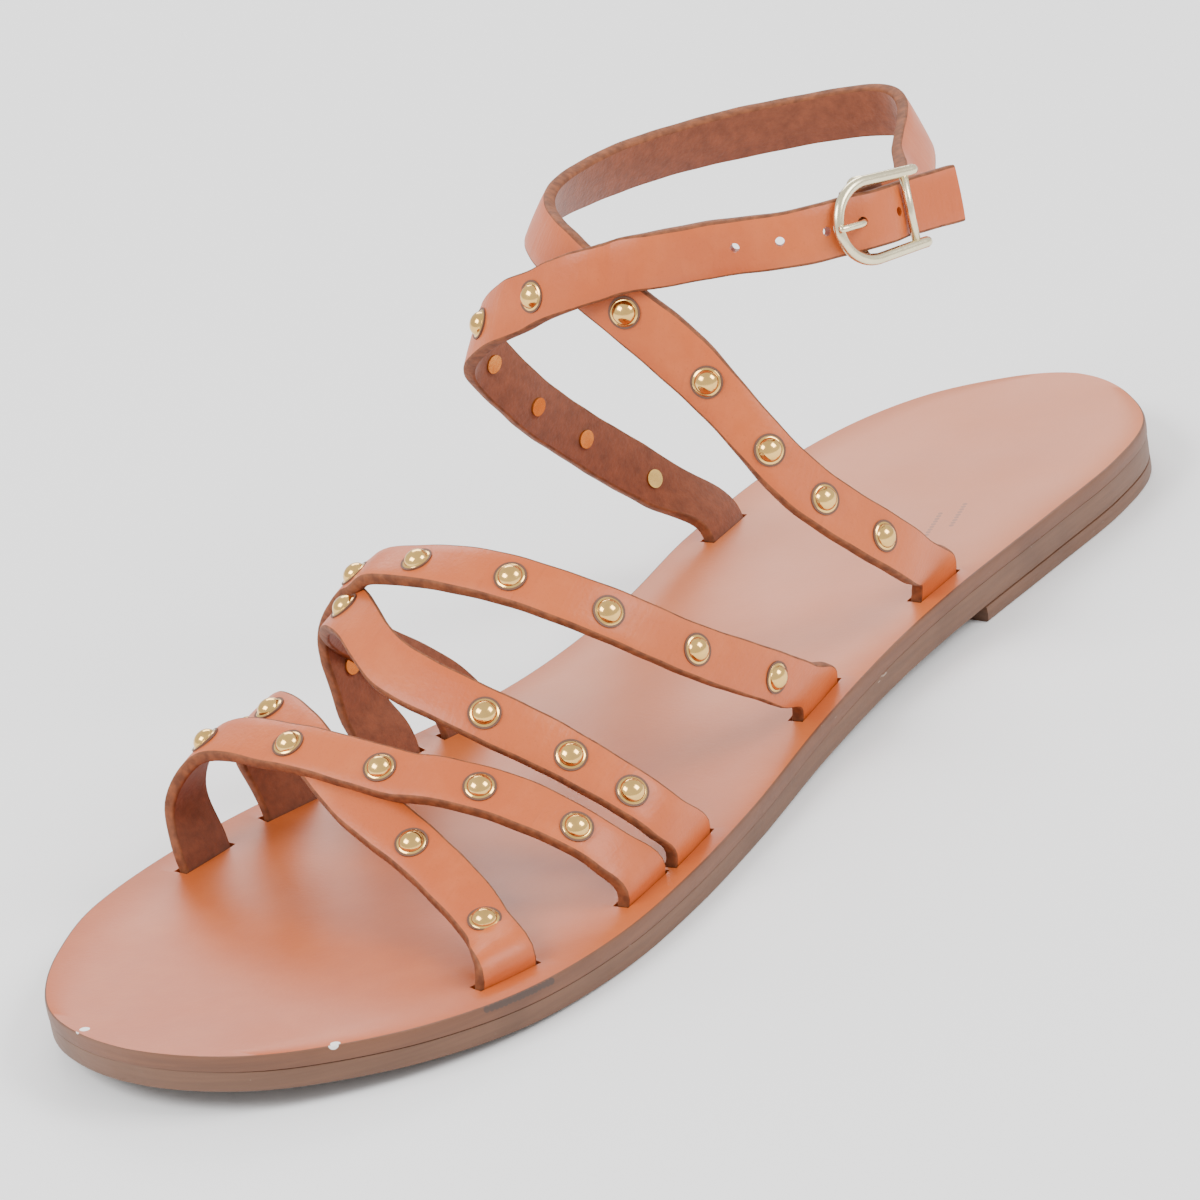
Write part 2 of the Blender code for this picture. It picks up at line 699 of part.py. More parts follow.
def tube(name, points, radius, collection):
    """Round wire along points, as a closed mesh."""
    curve = bpy.data.curves.new(name, "CURVE")
    curve.dimensions = "3D"
    curve.bevel_depth = radius
    curve.bevel_resolution = 2
    curve.use_fill_caps = True
    line = curve.splines.new("POLY")
    line.points.add(len(points) - 1)
    for spot, point in zip(line.points, points):
        spot.co = (*point, 1)
    wire = bpy.data.objects.new(name + "_wire", curve)
    collection.objects.link(wire)
    bpy.context.view_layer.update()
    evaluated = wire.evaluated_get(bpy.context.evaluated_depsgraph_get())
    mesh = bpy.data.meshes.new_from_object(evaluated)
    bm = bmesh.new()
    bm.from_mesh(mesh)
    bmesh.ops.remove_doubles(bm, verts=bm.verts, dist=0.00001)
    made = add_object(name, bm, PALE_BRASS, collection)
    made.matrix_world = wire.matrix_world
    bpy.data.objects.remove(wire, do_unlink=True)
    bpy.data.meshes.remove(mesh)
    return made


def add_buckle_frame():
    """Rounded frame with two arms, a straight back bar and a lower centre bar."""
    bow = FRAME_REACH - FRAME_WIRE / 2
    turns = [math.radians(90 + 15 * index) for index in range(13)]
    arc = [buckle_point(bow * math.cos(turn) - FRAME_WIRE / 2, FRAME_LIFT, FRONT_HEIGHT * math.sin(turn))
           for turn in turns]
    ends = [buckle_point(FRAME_REACH + ARM_OVERRUN, FRAME_LIFT, side * ARM_HEIGHT) for side in (1, -1)]
    frame = tube("buckle_frame", [ends[0], *arc, ends[1]], FRAME_WIRE / 2, parts)
    back = [buckle_point(FRAME_REACH, FRAME_LIFT, side * ARM_HEIGHT) for side in (1, -1)]
    corner = CENTRE_BAR / 2
    centre = [buckle_point(0, lift, side * height)
              for side, rows in ((1, (0, 1, 2)), (-1, (2, 1, 0)))
              for lift, height in [((FRAME_LIFT, FRONT_HEIGHT), (LOOP_RADIUS + corner, FRONT_HEIGHT),
                                    (LOOP_RADIUS, FRONT_HEIGHT - corner))[row] for row in rows]]
    combine(frame, "UNION", tube("back_bar", back, BACK_BAR / 2, cutters))
    combine(frame, "UNION", tube("centre_bar", centre, CENTRE_BAR / 2, cutters))


def add_buckle_prong(hole):
    """Prong curled round the centre bar, up through its hole and over the front of the frame."""
    ring = CENTRE_BAR / 2 + GAP + PRONG_WIRE / 2
    turns = [math.radians(90 - 22.5 * index) for index in range(13)]
    points = [buckle_point(ring * math.cos(turn), LOOP_RADIUS + ring * math.sin(turn)) for turn in turns]
    points += [hole @ Vector((0, 0, depth * STRAP_THICKNESS)) for depth in (-0.2, 0.5, 1.3)]
    over = FRAME_LIFT + FRAME_WIRE / 2 + GAP + PRONG_WIRE / 2
    for reach, lift in ((-0.46, 0.96), (-0.68, 1.01), (-1.0, 1.0), (-1.12, 0.97)):
        points.append(buckle_point(reach * FRAME_REACH, lift * over))
    tube("buckle_prong", points, PRONG_WIRE / 2, parts)


clear_scene()
parts = new_collection("strappy_sandal")
cutters = new_collection("cutters")

# Sole
sole_layer("heel_lift", lambda station: 0, lambda station: LIFT_THICKNESS,
           EDGE_STEP / LENGTH, HEEL_BREAST, 14, EDGE_STEP, SOLE_RUBBER, parts)
outsole = sole_layer("outsole", outsole_bottom, outsole_top, EDGE_STEP / LENGTH, 1 - EDGE_STEP / LENGTH,
                     36, EDGE_STEP, SOLE_RUBBER, parts)
insole = sole_layer("insole", insole_bottom, insole_top, 0, 1, 36, 0, INSOLE_LEATHER, parts)
cut_slots(insole, outsole)

# Straps, joined in pairs where they cross, with their studs
straps = {
    "toe": slotted_strap("toe", TOE_ROUTE, TOE_ARCH),
    "ball": slotted_strap("ball", BALL_ROUTE, TOE_ARCH),
    "front_instep": slotted_strap("front_instep", FRONT_INSTEP_ROUTE, INSTEP_ARCH),
    "rear_instep": slotted_strap("rear_instep", REAR_INSTEP_ROUTE, INSTEP_ARCH),
    "heel_side": heel_side_strap(),
    "closing": closing_strap(),
}
short_stud = stud_mesh("short_stud", 1)
long_stud = stud_mesh("long_stud", 2)
for pair, under, over in (("toe_straps", "toe", "ball"), ("instep_straps", "front_instep", "rear_instep"),
                          ("ankle_straps", "heel_side", "closing")):
    straps[over].rest_on(straps[under])
    joined = straps[under].build(pair, TAN_LEATHER, parts)
    if under == "heel_side":
        cut_fold_slit(joined)
    combine(joined, "UNION", straps[over].build(over + "_strap", TAN_LEATHER, cutters))
    holes = bmesh.new()
    for name in (under, over):
        for number, at in enumerate(straps[name].stud_frames(STUDS[name]), 1):
            add_cylinder(holes, at, POST_DIAMETER / 2 + GAP, -1.5 * STRAP_THICKNESS, 2 * STRAP_THICKNESS)
            doubled = name == over and straps[under].reaches(at.translation)
            add_stud(f"{name}_stud_{number}", long_stud if doubled else short_stud, at)
    if over == "closing":
        prong_hole = punch_holes(holes, straps[over])
    combine(joined, "DIFFERENCE", add_object(pair + "_holes", holes, None, cutters))

# Buckle
add_buckle_frame()
add_buckle_prong(prong_hole)
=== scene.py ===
import math

import bmesh
import bpy
from mathutils import Matrix, Vector


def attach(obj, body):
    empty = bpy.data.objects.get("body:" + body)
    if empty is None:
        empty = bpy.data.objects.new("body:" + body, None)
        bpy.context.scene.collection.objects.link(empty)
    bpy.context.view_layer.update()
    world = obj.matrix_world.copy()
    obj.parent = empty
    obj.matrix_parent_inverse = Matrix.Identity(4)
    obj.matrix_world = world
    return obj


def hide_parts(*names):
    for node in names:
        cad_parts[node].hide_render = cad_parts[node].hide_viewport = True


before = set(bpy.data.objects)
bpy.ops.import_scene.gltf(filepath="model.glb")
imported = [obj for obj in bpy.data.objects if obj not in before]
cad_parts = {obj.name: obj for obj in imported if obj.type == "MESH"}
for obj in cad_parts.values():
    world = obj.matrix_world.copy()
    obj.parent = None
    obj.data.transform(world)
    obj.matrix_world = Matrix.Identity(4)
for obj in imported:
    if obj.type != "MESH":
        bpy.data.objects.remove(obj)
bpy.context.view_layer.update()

MM = 0.001

# Camera
# A long lens on the outer front side of the sandal, a little above it, rolled so that the
# heel rises to the right as in the photograph.
AZIMUTH, ELEVATION, ROLL = math.radians(40.218), math.radians(23.372), math.radians(-10.241)
back = Vector((math.sin(AZIMUTH) * math.cos(ELEVATION), -math.cos(AZIMUTH) * math.cos(ELEVATION),
               math.sin(ELEVATION)))
level = Vector((math.cos(AZIMUTH), math.sin(AZIMUTH), 0))
upward = back.cross(level)
right = level * math.cos(ROLL) + upward * math.sin(ROLL)
top = upward * math.cos(ROLL) - level * math.sin(ROLL)
lens = bpy.data.cameras.new("camera")
lens.sensor_width = 36
lens.lens = 207.41
lens.clip_start = 0.1
camera = bpy.data.objects.new("camera", lens)
bpy.context.scene.collection.objects.link(camera)
camera.matrix_world = Matrix((right, top, back)).transposed().to_4x4()
camera.location = (643.85 * MM, -767.32 * MM, 458.18 * MM)
bpy.context.scene.camera = camera

# Floor and light
# A plain pale floor, with large soft lights as in a small photo studio: one broad light
# ahead of the toe, one over the heel and a weak one behind.
def plain(name, colour, roughness):
    made = bpy.data.materials.new(name)
    made.use_nodes = True
    shader = made.node_tree.nodes["Principled BSDF"]
    shader.inputs["Base Color"].default_value = (*colour, 1)
    shader.inputs["Roughness"].default_value = roughness
    return made


def new_object(name, bm, looks):
    mesh = bpy.data.meshes.new(name)
    bm.to_mesh(mesh)
    bm.free()
    for look in looks:
        mesh.materials.append(look)
    made = bpy.data.objects.new(name, mesh)
    bpy.context.scene.collection.objects.link(made)
    return made


def soft_light(name, place, target, size, power, colour=(1, 1, 1)):
    lamp = bpy.data.lights.new(name, "AREA")
    lamp.shape = "RECTANGLE"
    lamp.size, lamp.size_y = size
    lamp.energy = power
    lamp.color = colour
    light = bpy.data.objects.new(name, lamp)
    bpy.context.scene.collection.objects.link(light)
    light.location = place
    light.rotation_mode = "QUATERNION"
    light.rotation_quaternion = (Vector(target) - Vector(place)).to_track_quat("-Z", "Y")


ground = bmesh.new()
bmesh.ops.create_grid(ground, x_segments=1, y_segments=1, size=3)
floor = new_object("floor", ground, [plain("pale_floor", (0.94, 0.94, 0.94), 0.9)])
soft_light("key_light", (-0.35, -0.75, 0.85), (0, 0, 0.02), (0.7, 0.5), 12)
soft_light("heel_light", (0.75, 0.25, 0.7), (0, 0, 0.03), (0.5, 0.5), 8)
soft_light("rim_light", (-0.6, 0.7, 0.6), (0, 0, 0.03), (0.6, 0.4), 5)
world = bpy.data.worlds.new("studio")
world.use_nodes = True
world.node_tree.nodes["Background"].inputs["Color"].default_value = (1, 1, 1, 1)
world.node_tree.nodes["Background"].inputs["Strength"].default_value = 1.05
bpy.context.scene.world = world

# Sole form
# The three layers of the sole share one outline and one side profile: a flat tread under
# the ball, a raised waist in front of the heel and a toe that lifts off the floor.
LENGTH = 255 * MM
BALL_WIDTH, WAIST_WIDTH, HEEL_WIDTH = 88 * MM, 55 * MM, 59 * MM
OUTLINE_SHIFT = 2.07 * MM
INSOLE_THICKNESS, OUTSOLE_THICKNESS = 2.6 * MM, 3.0 * MM
LIFT_THICKNESS, HEEL_THICKENING = 2.4 * MM, 1.0 * MM
TOE_SPRING = 4.3 * MM
LAYER_GAP = 0.3 * MM
HEEL_BREAST, TREAD_START, TREAD_END = 0.29, 0.62, 0.72
OUTER, INNER = 1, -1
OUTLINE = [
    ("station", "width", "outer", "inner"),
    (0.00, HEEL_WIDTH, -0.01, 0.01),
    (0.02, HEEL_WIDTH, 0.45, 0.43),
    (0.06, HEEL_WIDTH, 0.78, 0.76),
    (0.12, HEEL_WIDTH, 0.91, 0.97),
    (0.20, HEEL_WIDTH, 0.94, 1.05),
    (0.30, WAIST_WIDTH, 1.03, 1.06),
    (0.40, WAIST_WIDTH, 1.07, 0.93),
    (0.50, WAIST_WIDTH, 1.18, 0.99),
    (0.60, BALL_WIDTH, 0.85, 0.805),
    (0.68, BALL_WIDTH, 0.927, 0.97),
    (0.76, BALL_WIDTH, 0.96, 1.05),
    (0.84, BALL_WIDTH, 0.91, 1.025),
    (0.90, BALL_WIDTH, 0.77, 0.89),
    (0.95, BALL_WIDTH, 0.555, 0.70),
    (0.98, BALL_WIDTH, 0.35, 0.505),
    (1.00, BALL_WIDTH, -0.08, 0.08),
]


def smooth_step(value):
    value = min(max(value, 0.0), 1.0)
    return value * value * (3 - 2 * value)


def heel_slope(station):
    return smooth_step((TREAD_START - station) / (TREAD_START - HEEL_BREAST))


def outsole_bottom(station):
    """Height of the outsole's underside: on the lift at the heel, down at the tread, up at the toe."""
    spring = max(station - TREAD_END, 0.0) / (1 - TREAD_END)
    return (LIFT_THICKNESS + LAYER_GAP) * heel_slope(station) + TOE_SPRING * spring ** 2


def outsole_top(station):
    return outsole_bottom(station) + OUTSOLE_THICKNESS + HEEL_THICKENING * heel_slope(station)


def insole_bottom(station):
    return outsole_top(station) + LAYER_GAP


def insole_top(station):
    return insole_bottom(station) + INSOLE_THICKNESS


def turn_of(station):
    return math.acos(min(max(1 - 2 * station, -1.0), 1.0))


def edges(station):
    rows = [Vector((turn_of(s), width / 2 * outer, -width / 2 * inner))
            for s, width, outer, inner in OUTLINE[1:]]
    turn = turn_of(station)
    index = max(i for i in range(len(rows) - 1) if rows[i].x <= turn or i == 0)
    low, high = rows[index], rows[index + 1]
    before = rows[index - 1] if index else Vector((-rows[1].x, low.y * 2 - high.y, low.z * 2 - high.z))
    beyond = rows[index + 2] if index + 2 < len(rows) else high * 2 - low
    span = high.x - low.x
    t = (turn - low.x) / span
    start = (high - before) / (high.x - before.x) * span
    end = (beyond - low) / (beyond.x - low.x) * span
    value = (low * (2 * t ** 3 - 3 * t ** 2 + 1) + start * (t ** 3 - 2 * t ** 2 + t)
             + high * (3 * t ** 2 - 2 * t ** 3) + end * (t ** 3 - t ** 2))
    return value.y, value.z


def place(station, x, z):
    return Vector((x + OUTLINE_SHIFT, LENGTH * (0.5 - station), z))


def edge_direction(station, side):
    pick = 0 if side == OUTER else 1
    rear, fore = station - 0.02, station + 0.02
    behind = place(rear, edges(rear)[pick], insole_bottom(rear))
    ahead = place(fore, edges(fore)[pick], insole_bottom(fore))
    return (ahead - behind).normalized()


def sole_layer(name, low, high, first, last, rows, inset, bottom_round, top_round, looks):
    """Loft a layer of the sole; slots of looks are its top, its side and its underside."""
    start, end = turn_of(first), turn_of(last)
    bm = bmesh.new()
    rings = []
    for row in range(rows + 1):
        station = (1 - math.cos(start + (end - start) * row / rows)) / 2
        outer, inner = edges(station)
        middle = (outer + inner) / 2
        half = max((outer - inner) / 2 - inset, 2.2 * top_round)
        base, crest = low(station), high(station)
        side = [(half - bottom_round, base), (half - 0.3 * bottom_round, base + 0.3 * bottom_round),
                (half, base + bottom_round), (half + 0.05 * MM, (base + crest) / 2),
                (half, crest - top_round), (half - 0.3 * top_round, crest - 0.3 * top_round),
                (half - top_round, crest)]
        inward = [(half - top_round) * share for share in (0.75, 0.35, 0)]
        profile = side + [(x, crest) for x in inward]
        profile += [(-x, z) for x, z in reversed(profile[:-1])]
        profile += [(-(half - bottom_round) * 0.5, base), (0, base), ((half - bottom_round) * 0.5, base)]
        rings.append([bm.verts.new(place(station, middle + x, z)) for x, z in profile])
    count = len(rings[0])
    for rear, fore in zip(rings, rings[1:]):
        for index in range(count):
            after = (index + 1) % count
            face = bm.faces.new((rear[index], rear[after], fore[after], fore[index]))
            face.material_index = 0 if 6 <= index < 12 else 2 if index >= 18 else 1
            face.smooth = True
    for ring in (rings[0], rings[-1]):
        bm.faces.new(ring).material_index = 1
    bmesh.ops.recalc_face_normals(bm, faces=bm.faces)
    made = new_object(name, bm, looks)
    made.data.set_sharp_from_angle(angle=math.radians(38))
    return made


class Look:
    """A node material on object coordinates, built step by step."""

    def __init__(self, name, roughness, metallic=0.0):
        self.material = bpy.data.materials.new(name)
        self.material.use_nodes = True
        self.tree = self.material.node_tree
        self.shader = self.tree.nodes["Principled BSDF"]
        self.shader.inputs["Roughness"].default_value = roughness
        self.shader.inputs["Metallic"].default_value = metallic
        self.place = self.tree.nodes.new("ShaderNodeTexCoord").outputs["Object"]

    def node(self, kind, **settings):
        made = self.tree.nodes.new(kind)
        for key, value in settings.items():
            if key in made.inputs:
                made.inputs[key].default_value = value
            else:
                setattr(made, key, value)
        return made

    def link(self, source, target):
        self.tree.links.new(source, target)

    def noise(self, scale, detail=3.0, stretch=None, roughness=0.5):
        made = self.node("ShaderNodeTexNoise", Scale=scale, Detail=detail, Roughness=roughness)
        source = self.place
        if stretch:
            bend = self.node("ShaderNodeMapping", Scale=stretch)
            self.link(source, bend.inputs["Vector"])
            source = bend.outputs["Vector"]
        self.link(source, made.inputs["Vector"])
        return made.outputs["Fac"]

    def span(self, source, low, high):
        """Stretch a value from low..high to 0..1, clamped."""
        made = self.node("ShaderNodeMapRange")
        made.inputs["From Min"].default_value = low
        made.inputs["From Max"].default_value = high
        self.link(source, made.inputs["Value"])
        return made.outputs["Result"]

    def maths(self, operation, first, second):
        made = self.node("ShaderNodeMath", operation=operation)
        for socket, value in zip(made.inputs, (first, second)):
            if isinstance(value, (int, float)):
                socket.default_value = value
            else:
                self.link(value, socket)
        return made.outputs["Value"]

    def mix(self, factor, first, second):
        """Blend two colours, each a triple or the output of a node."""
        made = self.node("ShaderNodeMix", data_type="RGBA")
        factor_in, first_in, second_in = made.inputs[0], made.inputs[6], made.inputs[7]
        for socket, value in ((factor_in, factor), (first_in, first), (second_in, second)):
            if isinstance(value, tuple):
                socket.default_value = (*value, 1)
            elif isinstance(value, (int, float)):
                socket.default_value = value
            else:
                self.link(value, socket)
        return made.outputs[2]

    def near(self, points, radius, ragged=0.35, scale=900):
        """Mask of small ragged patches round points, each in millimetres."""
        total = None
        for point in points:
            away = self.node("ShaderNodeVectorMath", operation="DISTANCE")
            self.link(self.place, away.inputs[0])
            away.inputs[1].default_value = [value * MM for value in point]
            patch = self.span(away.outputs["Value"], radius, radius * (1 - ragged))
            total = patch if total is None else self.maths("MAXIMUM", total, patch)
        rough = self.noise(scale, 2)
        return self.span(self.maths("MULTIPLY", total, self.maths("ADD", rough, 0.5)), 0.35, 0.6)

    def colour(self, source):
        self.link(source, self.shader.inputs["Base Color"])

    def roughness(self, source, low, high):
        made = self.node("ShaderNodeMapRange")
        made.inputs["To Min"].default_value = low
        made.inputs["To Max"].default_value = high
        self.link(source, made.inputs["Value"])
        self.link(made.outputs["Result"], self.shader.inputs["Roughness"])

    def bump(self, source, distance, strength=1.0):
        made = self.node("ShaderNodeBump", Strength=strength, Distance=distance)
        self.link(source, made.inputs["Height"])
        self.link(made.outputs["Normal"], self.shader.inputs["Normal"])


# Insole
# The upper layer of the sole, smooth tan leather glued flat on the outsole, with a painted
# edge and a slot for each strap end. It is paler and pinker at the heel, and more orange at the toe.
SLOTS = [
    ("strap", "side", "station", "inset", "mouth"),
    ("toe", OUTER, 0.837, 6.9 * MM, 10.6 * MM),
    ("toe", INNER, 0.680, 6.0 * MM, 10.2 * MM),
    ("ball", OUTER, 0.707, 5.6 * MM, 11.4 * MM),
    ("ball", INNER, 0.760, 7.2 * MM, 10.2 * MM),
    ("front_instep", OUTER, 0.653, 4.9 * MM, 12.0 * MM),
    ("front_instep", INNER, 0.551, 5.0 * MM, 10.2 * MM),
    ("rear_instep", OUTER, 0.468, 4.9 * MM, 12.8 * MM),
    ("rear_instep", INNER, 0.607, 5.4 * MM, 10.2 * MM),
    ("heel_side", OUTER, 0.319, 4.6 * MM, 11.2 * MM),
    ("closing", INNER, 0.285, 5.0 * MM, 10.2 * MM),
]
STRAP_THICKNESS = 2.0 * MM


def basis(origin, x_axis, y_axis, z_axis):
    made = Matrix((x_axis, y_axis, z_axis)).transposed().to_4x4()
    made.translation = origin
    return made


def mouth_width(strap, side):
    return [mouth for name, slot_side, _, _, mouth in SLOTS[1:] if name == strap and slot_side == side][0]


def slot_frame(strap, side):
    """Matrix of a slot on the insole's top: X out of the foot, Y to the toe, Z up from the insole."""
    for name, slot_side, station, inset, _ in SLOTS[1:]:
        if name == strap and slot_side == side:
            along = edge_direction(station, side)
            flat = Vector((-along.y, along.x, 0)).normalized() * side
            slope = (insole_top(station - 0.02) - insole_top(station + 0.02)) / (0.04 * LENGTH)
            up = Vector((0, -slope, 1)).normalized()
            outward = (flat - up * flat.dot(up)).normalized()
            along = (along - outward * along.dot(outward)).normalized()
            edge = place(station, edges(station)[0 if side == OUTER else 1], insole_top(station))
            return basis(edge - outward * inset, outward, along, up)
    raise ValueError(strap)


def add_box(bm, at, low, high):
    size = Matrix.Diagonal([b - a for a, b in zip(low, high)] + [1])
    middle = Matrix.Translation([(a + b) / 2 for a, b in zip(low, high)])
    bmesh.ops.create_cube(bm, size=1, matrix=at @ middle @ size)


def cut_out(target, bm, name):
    """Cut closed shapes out of a piece and keep the result as its plain mesh."""
    bmesh.ops.recalc_face_normals(bm, faces=bm.faces)
    tool = new_object(name, bm, [])
    cut = target.modifiers.new(name, "BOOLEAN")
    cut.operation = "DIFFERENCE"
    cut.object = tool
    bpy.context.view_layer.update()
    made = bpy.data.meshes.new_from_object(target.evaluated_get(bpy.context.evaluated_depsgraph_get()))
    target.modifiers.remove(cut)
    target.data = made
    bpy.data.objects.remove(tool, do_unlink=True)


CHIP_SIZE, CHIP_COLOUR = 0.95 * MM, (0.82, 0.80, 0.76)


def insole_look():
    look = Look("insole_leather", 0.42)
    apart = look.node("ShaderNodeSeparateXYZ")
    look.link(look.place, apart.inputs["Vector"])
    to_heel = look.span(apart.outputs["Y"], -95 * MM, 60 * MM)
    base = look.mix(to_heel, (0.46, 0.088, 0.012), (0.56, 0.150, 0.042))
    cloudy = look.span(look.noise(28, 4), 0.35, 0.7)
    base = look.mix(look.maths("MULTIPLY", cloudy, 0.35), base, (0.38, 0.065, 0.008))
    mottle = look.span(look.noise(260, 5), 0.4, 0.75)
    base = look.mix(look.maths("MULTIPLY", mottle, 0.18), base, (0.60, 0.155, 0.040))
    line_start, line_step, next_line = Vector((13.7, 62.4, 9.2)), Vector((-0.32, 1, 0)), Vector((2, 4.4, 0))
    marks = look.near([line_start + next_line * line + line_step * step
                       for line in range(2) for step in range(9)], 0.7 * MM)
    base = look.mix(look.maths("MULTIPLY", marks, 0.6), base, (0.16, 0.05, 0.02))
    chips = look.near([(-12.4, -124.2, 10.0), (26.6, -113.6, 8.9)], CHIP_SIZE)
    base = look.mix(chips, base, CHIP_COLOUR)
    look.colour(base)
    look.roughness(look.noise(60, 3), 0.36, 0.5)
    look.bump(look.maths("ADD", look.noise(1500, 3), look.maths("MULTIPLY", look.noise(160, 2), 2)),
              0.04 * MM, 0.6)
    return look.material


def edge_look(name, upper, lower, worn):
    """Painted cut edge: fine lines along the layers, scuffed pale and dark in places."""
    look = Look(name, 0.5)
    streaks = look.span(look.noise(60, 4, stretch=(1, 1, 22)), 0.3, 0.75)
    base = look.mix(streaks, upper, lower)
    blotches = look.span(look.noise(70, 3), 0.52, 0.7)
    base = look.mix(look.maths("MULTIPLY", blotches, 0.35), base, tuple(0.55 * value for value in lower))
    scuffs = look.span(look.noise(900, 4, stretch=(1, 0.35, 1.5)), 0.7, 0.78)
    patches = look.span(look.noise(35, 2), 0.5, 0.62)
    base = look.mix(look.maths("MULTIPLY", scuffs, patches), base, worn)
    rubbed_from, rubbed_step, below_top = 0.825, 0.003, 0.5 * MM
    rubbed = [rubbed_from + rubbed_step * step for step in range(16)]
    smudge = look.near([place(station, edges(station)[0], insole_top(station) - below_top) / MM
                        for station in rubbed], 0.9 * MM, 0.8, 500)
    base = look.mix(look.maths("MULTIPLY", smudge, 0.7), base, (0.035, 0.028, 0.025))
    chips = look.near([(-12.4, -125.0, 10.0), (26.8, -114.2, 8.9)], CHIP_SIZE)
    base = look.mix(chips, base, CHIP_COLOUR)
    look.colour(base)
    look.bump(look.noise(420, 4, stretch=(1, 1, 3)), 0.12 * MM, 0.6)
    return look.material


insole_top_look = insole_look()
insole_edge = edge_look("insole_edge", (0.165, 0.062, 0.028), (0.120, 0.046, 0.022), (0.46, 0.33, 0.25))
sole_edge = edge_look("sole_edge", (0.155, 0.070, 0.037), (0.115, 0.052, 0.028), (0.50, 0.40, 0.31))
tread = plain("tread", (0.10, 0.065, 0.05), 0.8)
insole = sole_layer("insole_piece", insole_bottom, insole_top, 0, 1, 150, 0, 0.25 * MM, 0.45 * MM,
                    [insole_top_look, insole_edge, insole_edge])
slots = bmesh.new()
side_play, end_play = 0.35 * MM, 0.6 * MM
for name, side, _, _, mouth in SLOTS[1:]:
    reach, half = STRAP_THICKNESS / 2 + side_play, mouth / 2 + end_play
    add_box(slots, slot_frame(name, side),
            (-reach, -half, -2 * INSOLE_THICKNESS), (reach, half, INSOLE_THICKNESS))
cut_out(insole, slots, "insole_slots")
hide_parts("insole")
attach(insole, "root")

# Outsole and heel lift
# The lower layers of the sole in brown, cut flush with the insole: a thin sheet from heel
# to toe with a worn tread, and a low block under the heel.
outsole = sole_layer("outsole_piece", outsole_bottom, lambda station: insole_bottom(station) - 0.04 * MM,
                     0.0006, 0.9994, 150, 0.15 * MM, 0.5 * MM, 0.25 * MM, [sole_edge, sole_edge, tread])
lift = sole_layer("heel_lift_piece", lambda station: 0, lambda station: LIFT_THICKNESS + 0.25 * MM,
                  0.0006, HEEL_BREAST, 60, 0.15 * MM, 0.5 * MM, 0.2 * MM, [sole_edge, sole_edge, tread])
for piece, node in ((outsole, "outsole"), (lift, "heel_lift")):
    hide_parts(node)
    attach(piece, "root")

# Straps
# Six narrow straps of firm tan leather, cut with raw edges, pushed through the insole's
# slots and joined in pairs where they cross. Each is lofted along its own route.
STRAP_WIDTH, ANKLE_STRAP_WIDTH = 8.4 * MM, 9.0 * MM
SKIVED_THICKNESS, JOIN_DEPTH, SETTLE, CROSSING_REACH = 1.0 * MM, 0.5 * MM, 1.5 * MM, 24 * MM
SHOULDER_RISE, SHOULDER_BULGE = 1.2 * MM, 0.3 * MM
TOE_ARCH, INSTEP_ARCH, ANKLE_RISE, FOOT_WIDTH = 21 * MM, 38 * MM, 70 * MM, 88 * MM
BED = OUTSOLE_THICKNESS + LAYER_GAP + INSOLE_THICKNESS
FINE_PITCH = 1.1 * MM


def spline(times, values, rows):
    """Smooth curve through values set at times, with the given number of rows in each stretch."""
    slopes = [(after - before) / (end - start)
              for start, end, before, after in zip(times, times[1:], values, values[1:])]
    spans = [end - start for start, end in zip(times, times[1:])]
    turns = [slopes[0]]
    for index in range(len(slopes) - 1):
        whole = spans[index] + spans[index + 1]
        turns.append((slopes[index] * spans[index + 1] + slopes[index + 1] * spans[index]) / whole)
    turns.append(slopes[-1])
    points = []
    for index, count in enumerate(rows):
        low, high = values[index], values[index + 1]
        for row in range(count):
            t = row / count
            points.append(low * (2 * t ** 3 - 3 * t ** 2 + 1) + high * (3 * t ** 2 - 2 * t ** 3)
                          + turns[index] * (spans[index] * (t ** 3 - 2 * t ** 2 + t))
                          + turns[index + 1] * (spans[index] * (t ** 3 - t ** 2)))
    points.append(values[-1])
    return points


class Knot:
    """One row of a strap: point of its inner face, direction across it, half width, thickness."""

    def __init__(self, point, across, half=None, thickness=STRAP_THICKNESS):
        self.point = point
        self.across = across
        self.half = half
        self.thickness = thickness


def ruling(lean, flare=0.0):
    """Direction across a strap: towards the toe where it lies flat, down where it stands up."""
    lean, flare = math.radians(lean), math.radians(flare)
    return Vector((math.sin(flare), -math.cos(lean) * math.cos(flare), -math.sin(lean) * math.cos(flare)))


def route_knots(route, arch):
    return [Knot(place(station, side * FOOT_WIDTH / 2, BED + rise * arch), ruling(lean, *flare))
            for station, side, rise, lean, *flare in route[1:]]


def slot_knots(strap, side):
    """Knots of a strap's end: its run up through the slot, then its rise clear of the insole."""
    slot = slot_frame(strap, side)
    across = slot.col[1].to_3d()
    half = mouth_width(strap, side) / 2
    inner = -STRAP_THICKNESS / 2

    def knot(out, up, thickness=STRAP_THICKNESS):
        return Knot(slot @ Vector((out, 0, up)), across, half, thickness)

    hidden = [knot(inner, -INSOLE_THICKNESS)]
    return hidden, [knot(inner, 0), knot(inner + SHOULDER_BULGE, SHOULDER_RISE)]


